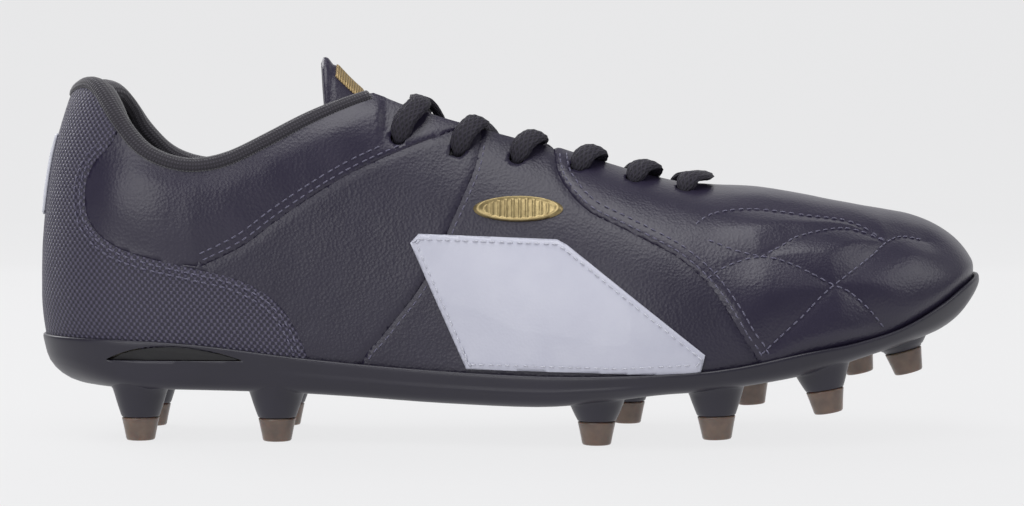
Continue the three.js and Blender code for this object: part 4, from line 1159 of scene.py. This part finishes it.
wide_axes = []
for k, point in enumerate(lace_path):
    forward = (lace_path[min(k + 1, len(lace_path) - 1)] - lace_path[max(k - 1, 0)]).normalized()
    wide = forward.cross(plain_skin.find_nearest(point)[1])
    if wide.length < 0.45:
        wide = wide_axes[-1] if wide_axes else Vector((1, 0, 0))
    if wide_axes and wide.dot(wide_axes[-1]) < 0:
        wide = -wide
    wide_axes.append(wide.normalized())
for _ in range(25):
    wide_axes = [wide_axes[0]] + [(a + b * 2 + c).normalized() for a, b,
        c in zip(wide_axes, wide_axes[1:], wide_axes[2:])] + [wide_axes[-1]]


def lace_section(k, travelled):
    """An oval, squeezed a little where it goes through the wall, with the braid's shallow ridges."""
    inside_hole = math.exp(-((abs((lace_path[k] - holes_near(lace_path[k])).length * 1000)) / 2.4) ** 2)
    hit, normal = plain_skin.find_nearest(lace_path[k])[:2]
    buried = 1 - ease((lace_path[k] - hit).dot(normal) * 1000, -3, 0.5)
    wide = LACE_WIDE + (2.8 - LACE_WIDE) * max(inside_hole, buried)
    ring = []
    for i in range(36):
        angle = math.tau * i / 36
        ridge = 1 + 0.05 * math.cos(angle * 9) * (1 + 0.4 * math.sin(travelled * math.tau / 0.0024))
        ring.append((wide / 2000 * math.cos(angle) * ridge, LACE_THICK / 2000 * math.sin(angle) * ridge))
    return ring


hole_points = [lace_at(x, side, EYELET_INSET, -WALL / 2) for side in (-1, 1) for x in EYELET_X]


def holes_near(point):
    return min(hole_points, key=lambda hole: (hole - point).length)


piece = sweep("braided_lace", lace_path, wide_axes, lace_section, lace_fibre)
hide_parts("lace")
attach(piece, "shoe")

# ---- Heel patch ----
# A pale rubber-print patch on the back of the heel, with two shallow plain ribs down it.
patch_rubber, tree, shader = new_material("pale_rubber_print", Roughness=0.5)
place = add_node(tree, "ShaderNodeTexCoord").outputs["Object"]
dust = add_node(tree, "ShaderNodeTexNoise", inputs={"Vector": place, "Scale": 300.0, "Detail": 5.0})
shade = add_node(tree, "ShaderNodeMix", {"data_type": "RGBA"}, {
    "Factor": dust.outputs["Fac"], "A": linear("#b4b5c0"), "B": linear("#d2d3dc")})
tree.links.new(shade.outputs["Result"], shader.inputs["Base Color"])
bump = add_node(tree, "ShaderNodeBump",
    inputs={"Height": dust.outputs["Fac"], "Strength": 0.2, "Distance": 0.0002})
tree.links.new(bump.outputs["Normal"], shader.inputs["Normal"])
bm = bmesh.new()
bmesh.ops.create_grid(bm, x_segments=40, y_segments=60, size=1)
for vert in bm.verts:
    u, v = vert.co.x, vert.co.y
    corner = max(0, abs(u) - 0.6) ** 3 / 0.064 * max(0, abs(v) - 0.8) ** 3 / 0.008
    y, z = 8 * u * (1 - 0.06 * corner), 81 + 12.6 * v * (1 - 0.06 * corner)
    edge = max(abs(u), abs(v))
    hit, normal = shaped_skin.ray_cast(Vector((-0.3, (y + CENTRING.y) / 1000, z / 1000)), Vector((1, 0, 0)))[:2]
    ribs = 0.35 * math.exp(-((abs(u) - 0.36) / 0.12) ** 2) * (1 - ease(abs(v), 0.6, 0.75))
    vert.co = hit + normal * (0.95 + ribs - 0.5 * ease(edge, 0.93, 1)) / 1000
bmesh.ops.recalc_face_normals(bm, faces=bm.faces)
if max(bm.faces, key=lambda f: f.calc_area()).normal.x > 0:
    bmesh.ops.reverse_faces(bm, faces=bm.faces)
piece = thicken(finished(bm, "heel_patch_print", patch_rubber), 0.0009)
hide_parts("heel_patch")
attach(piece, "shoe")

# ---- Stitching ----
# Lock stitches in bonded polyester thread along every seam; each one is a short thread sunk at
# both ends. Panels are sewn in two rows, the quilting and the saddle edge in one.
STITCH_LONG, STITCH_STEP, THREAD = 1.9, 2.7, 0.24


def beside(line, distance):
    """A flat line moved sideways by so many millimetres."""
    moved = []
    for k, point in enumerate(line):
        ahead_of = (line[min(k + 1, len(line) - 1)] - line[max(k - 1, 0)]).normalized()
        moved.append(point + Vector((-ahead_of.y, ahead_of.x)) * distance / 1000)
    return moved


def stitched(name, runs, material):
    """Stitches laid end to end on the draped runs of points."""
    bm = bmesh.new()
    for run in runs:
        travelled, due = 0, 0.0005
        for k in range(1, len(run) - 1):
            point, normal = run[k]
            from_middle = abs(point.y * 1000 - crown_y(point.x * 1000))
            if point.x * 1000 < THROAT_END + 3 and from_middle < throat_half(point.x * 1000) + 2.5 and point.z > 0.06:
                continue
            step = (point - run[k - 1][0]).length
            if step > 0.004:
                due = travelled + STITCH_STEP / 1000
            travelled += step
            if travelled < due:
                continue
            due += STITCH_STEP / 1000
            forward = (run[k + 1][0] - run[k - 1][0]).normalized()
            across = normal.cross(forward).normalized()
            rings = []
            for share, size, height in ((-1, 0.5, -0.15), (-0.6, 1, 0.12), (0, 1, 0.2), (0.6, 1, 0.12),
                (1, 0.5, -0.15)):
                centre = point + forward * share * STITCH_LONG / 2000 + normal * height / 1000
                rings.append([bm.verts.new(centre + (across * math.cos(a * math.tau / 6) + normal * math.sin(
                    a * math.tau / 6)) * THREAD * size / 1000) for a in range(6)])
            for one, two in zip(rings, rings[1:]):
                for a in range(6):
                    bm.faces.new((one[a], one[(a + 1) % 6], two[(a + 1) % 6], two[a]))
            bm.faces.new(rings[0][::-1])
            bm.faces.new(rings[-1])
    bmesh.ops.recalc_face_normals(bm, faces=bm.faces)
    piece = finished(bm, name, material)
    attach(piece, "shoe")
    return piece


def thread(name, dark, pale):
    material, tree, shader = new_material(name, Roughness=0.45, Sheen_Weight=0.2)
    place = add_node(tree, "ShaderNodeTexCoord").outputs["Object"]
    twist = add_node(tree, "ShaderNodeTexWave", {"bands_direction": "DIAGONAL"},
        {"Vector": place, "Scale": 900.0})
    shade = add_node(tree, "ShaderNodeMix", {"data_type": "RGBA"}, {
        "Factor": twist.outputs["Fac"], "A": linear(dark), "B": linear(pale)})
    tree.links.new(shade.outputs["Result"], shader.inputs["Base Color"])
    return material


dark_thread = thread("bonded_thread_violet_grey", "#3d3a50", "#6a677e")
pale_thread = thread("bonded_thread_white", "#a9aab6", "#d0d1dc")


def clear_of(line):
    """The part of a seam that shows: above the plate's rim and below the opening."""
    return [p for p in line if line_height(rim_edge, p.x) + 0.0012 < p.y < 0.0905 and not (
        p.x < collar_edge[-1].x and p.y > line_height(collar_edge,
            p.x) - 0.003) and not inside(saddle_edge, p.x, p.y)]


panel_rows = []
for line, gaps in ((vamp_seam, (-1.5, -3.6)), (quarter_seam, (-1.5,)), (collar_seam, (1.5, 3.6)),
    (heel_edge, (1.6, 3.4))):
    for gap in gaps:
        for side in (-1, 1):
            panel_rows.append(draped(clear_of(beside(line, gap)), side, shaped_skin))
stitched("panel_stitches", panel_rows, dark_thread)
stitched("quilting_stitches", [draped(line, side, shaped_skin) for line in quilting for side in (-1, 1)],
    dark_thread)
saddle_rows = []
for side in (-1, 1):
    ring = beside(saddle_edge + saddle_edge[:2], -1.6)
    shown = [p for p in ring if p.y > line_height(rim_edge, p.x) + 0.0015]
    run = draped(shown, side, plain_skin)
    saddle_rows.append([(point + normal * 0.00125, normal) for point, normal in run])
stitched("saddle_stitches", saddle_rows, pale_thread)

# ---- Sockliner ----
# A removable moulded foam footbed, faced with brushed black fabric.
SOCK_LOW, SOCK_HIGH, SOCK_INSET, SOCK_FRONT = 5.3, 9.2, 4.9, 118
sock_columns = []
sock_stations = evenly(foot_line, 120)[0]
for i in range(240):
    side = -1 if i <= 120 else 1
    samples = rib_samples(sock_stations[i if i <= 120 else 240 - i], side)
    low = at_height(samples, -SOCK_INSET - 0.4, underside, SOCK_LOW)
    high = at_height(samples, -SOCK_INSET, underside, SOCK_HIGH - 0.8)
    spots = []
    for edge in (low, high):
        edge = edge.copy()
        edge.x = min(edge.x, (SOCK_FRONT + CENTRING.x) / 1000)
        spots.append(edge)
    low, high = spots
    centre = Vector((low.x * 0.82, (along(CENTRE_LINE, low.x * 820) + CENTRING.y) / 1000, 0))
    line = []
    for share in (1, 0.85, 0.6, 0.3, 0):
        spot = low.lerp(centre, share)
        line.append(Vector((spot.x, spot.y, line_height(underside, spot.x) + SOCK_LOW / 1000)))
    line.append(high.copy())
    for share, drop in ((0.012, 0.35), (0.03, 0.1), (0.06, 0)):
        spot = high.lerp(centre, share)
        line.append(Vector((spot.x, spot.y, line_height(underside, spot.x) + (SOCK_HIGH - drop) / 1000)))
    for k in range(1, 14):
        spot = high.lerp(centre, 0.06 + 0.94 * k / 13)
        line.append(Vector((spot.x, spot.y, line_height(underside, spot.x) + SOCK_HIGH / 1000)))
    sock_columns.append(line)
sock_rows = len(sock_columns[0]) - 1
bm = bmesh.new()
bmesh.ops.create_grid(bm, x_segments=240, y_segments=sock_rows, size=1)
for vert in bm.verts:
    i = round((vert.co.x + 1) / 2 * 240) % 240
    vert.co = sock_columns[i][round((vert.co.y + 1) / 2 * sock_rows)]
bmesh.ops.remove_doubles(bm, verts=bm.verts, dist=2e-5)
layer = bm.loops.layers.uv.new("wrap")
for face in bm.faces:
    for loop in face.loops:
        loop[layer].uv = (loop.vert.co.x, loop.vert.co.y)
bmesh.ops.recalc_face_normals(bm, faces=bm.faces)
piece = finished(bm, "sockliner_footbed", textile("brushed_footbed_cloth", ["#16151a", "#2a2930"], 0.0008))
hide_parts("sockliner")
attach(piece, "sockliner")

# ---- Inner parts ----
# Stiffened fabric at heel and toe, dark open-cell foam at the collar, fibre board under the foot,
# rubber-coated cushions in the heel windows, and hard plastic lace ends.
def plain_part(name, colours, scale, roughness, depth, nodes):
    material, tree, shader = new_material(name, Roughness=roughness)
    place = add_node(tree, "ShaderNodeTexCoord").outputs["Object"]
    grain = add_node(tree, "ShaderNodeTexNoise", inputs={"Vector": place, "Scale": scale, "Detail": 6.0})
    shade = add_node(tree, "ShaderNodeMix", {"data_type": "RGBA"}, {
        "Factor": grain.outputs["Fac"], "A": linear(colours[0]), "B": linear(colours[1])})
    tree.links.new(shade.outputs["Result"], shader.inputs["Base Color"])
    bump = add_node(tree, "ShaderNodeBump",
        inputs={"Height": grain.outputs["Fac"], "Strength": depth, "Distance": 0.0003})
    tree.links.new(bump.outputs["Normal"], shader.inputs["Normal"])
    for node in nodes:
        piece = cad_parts[node]
        piece.data.materials.clear()
        piece.data.materials.append(material)


plain_part("fibre_board", ["#8f8062", "#c0ae8a"], 900.0, 0.85, 0.4, ["insole_board"])
plain_part("stiffened_felt", ["#a8a294", "#cfc9bb"], 1500.0, 0.9, 0.5, ["heel_stiffener", "toe_puff"])
plain_part("open_cell_foam", ["#17151b", "#2a2730"], 1800.0, 0.95, 0.8, ["collar_foam"])
plain_part("rubber_cushion", ["#060509", "#0f0e14"], 700.0, 0.5, 0.3,
    ["heel_cushion_lateral", "heel_cushion_medial"])
plain_part("tongue_root_leather", ["#211d30", "#2b2639"], 1100.0, 0.4, 0.3, ["tongue_base"])
plain_part("aglet_plastic", ["#0d0d11", "#1a1a20"], 500.0, 0.22, 0.1, ["aglet_lateral", "aglet_medial"])
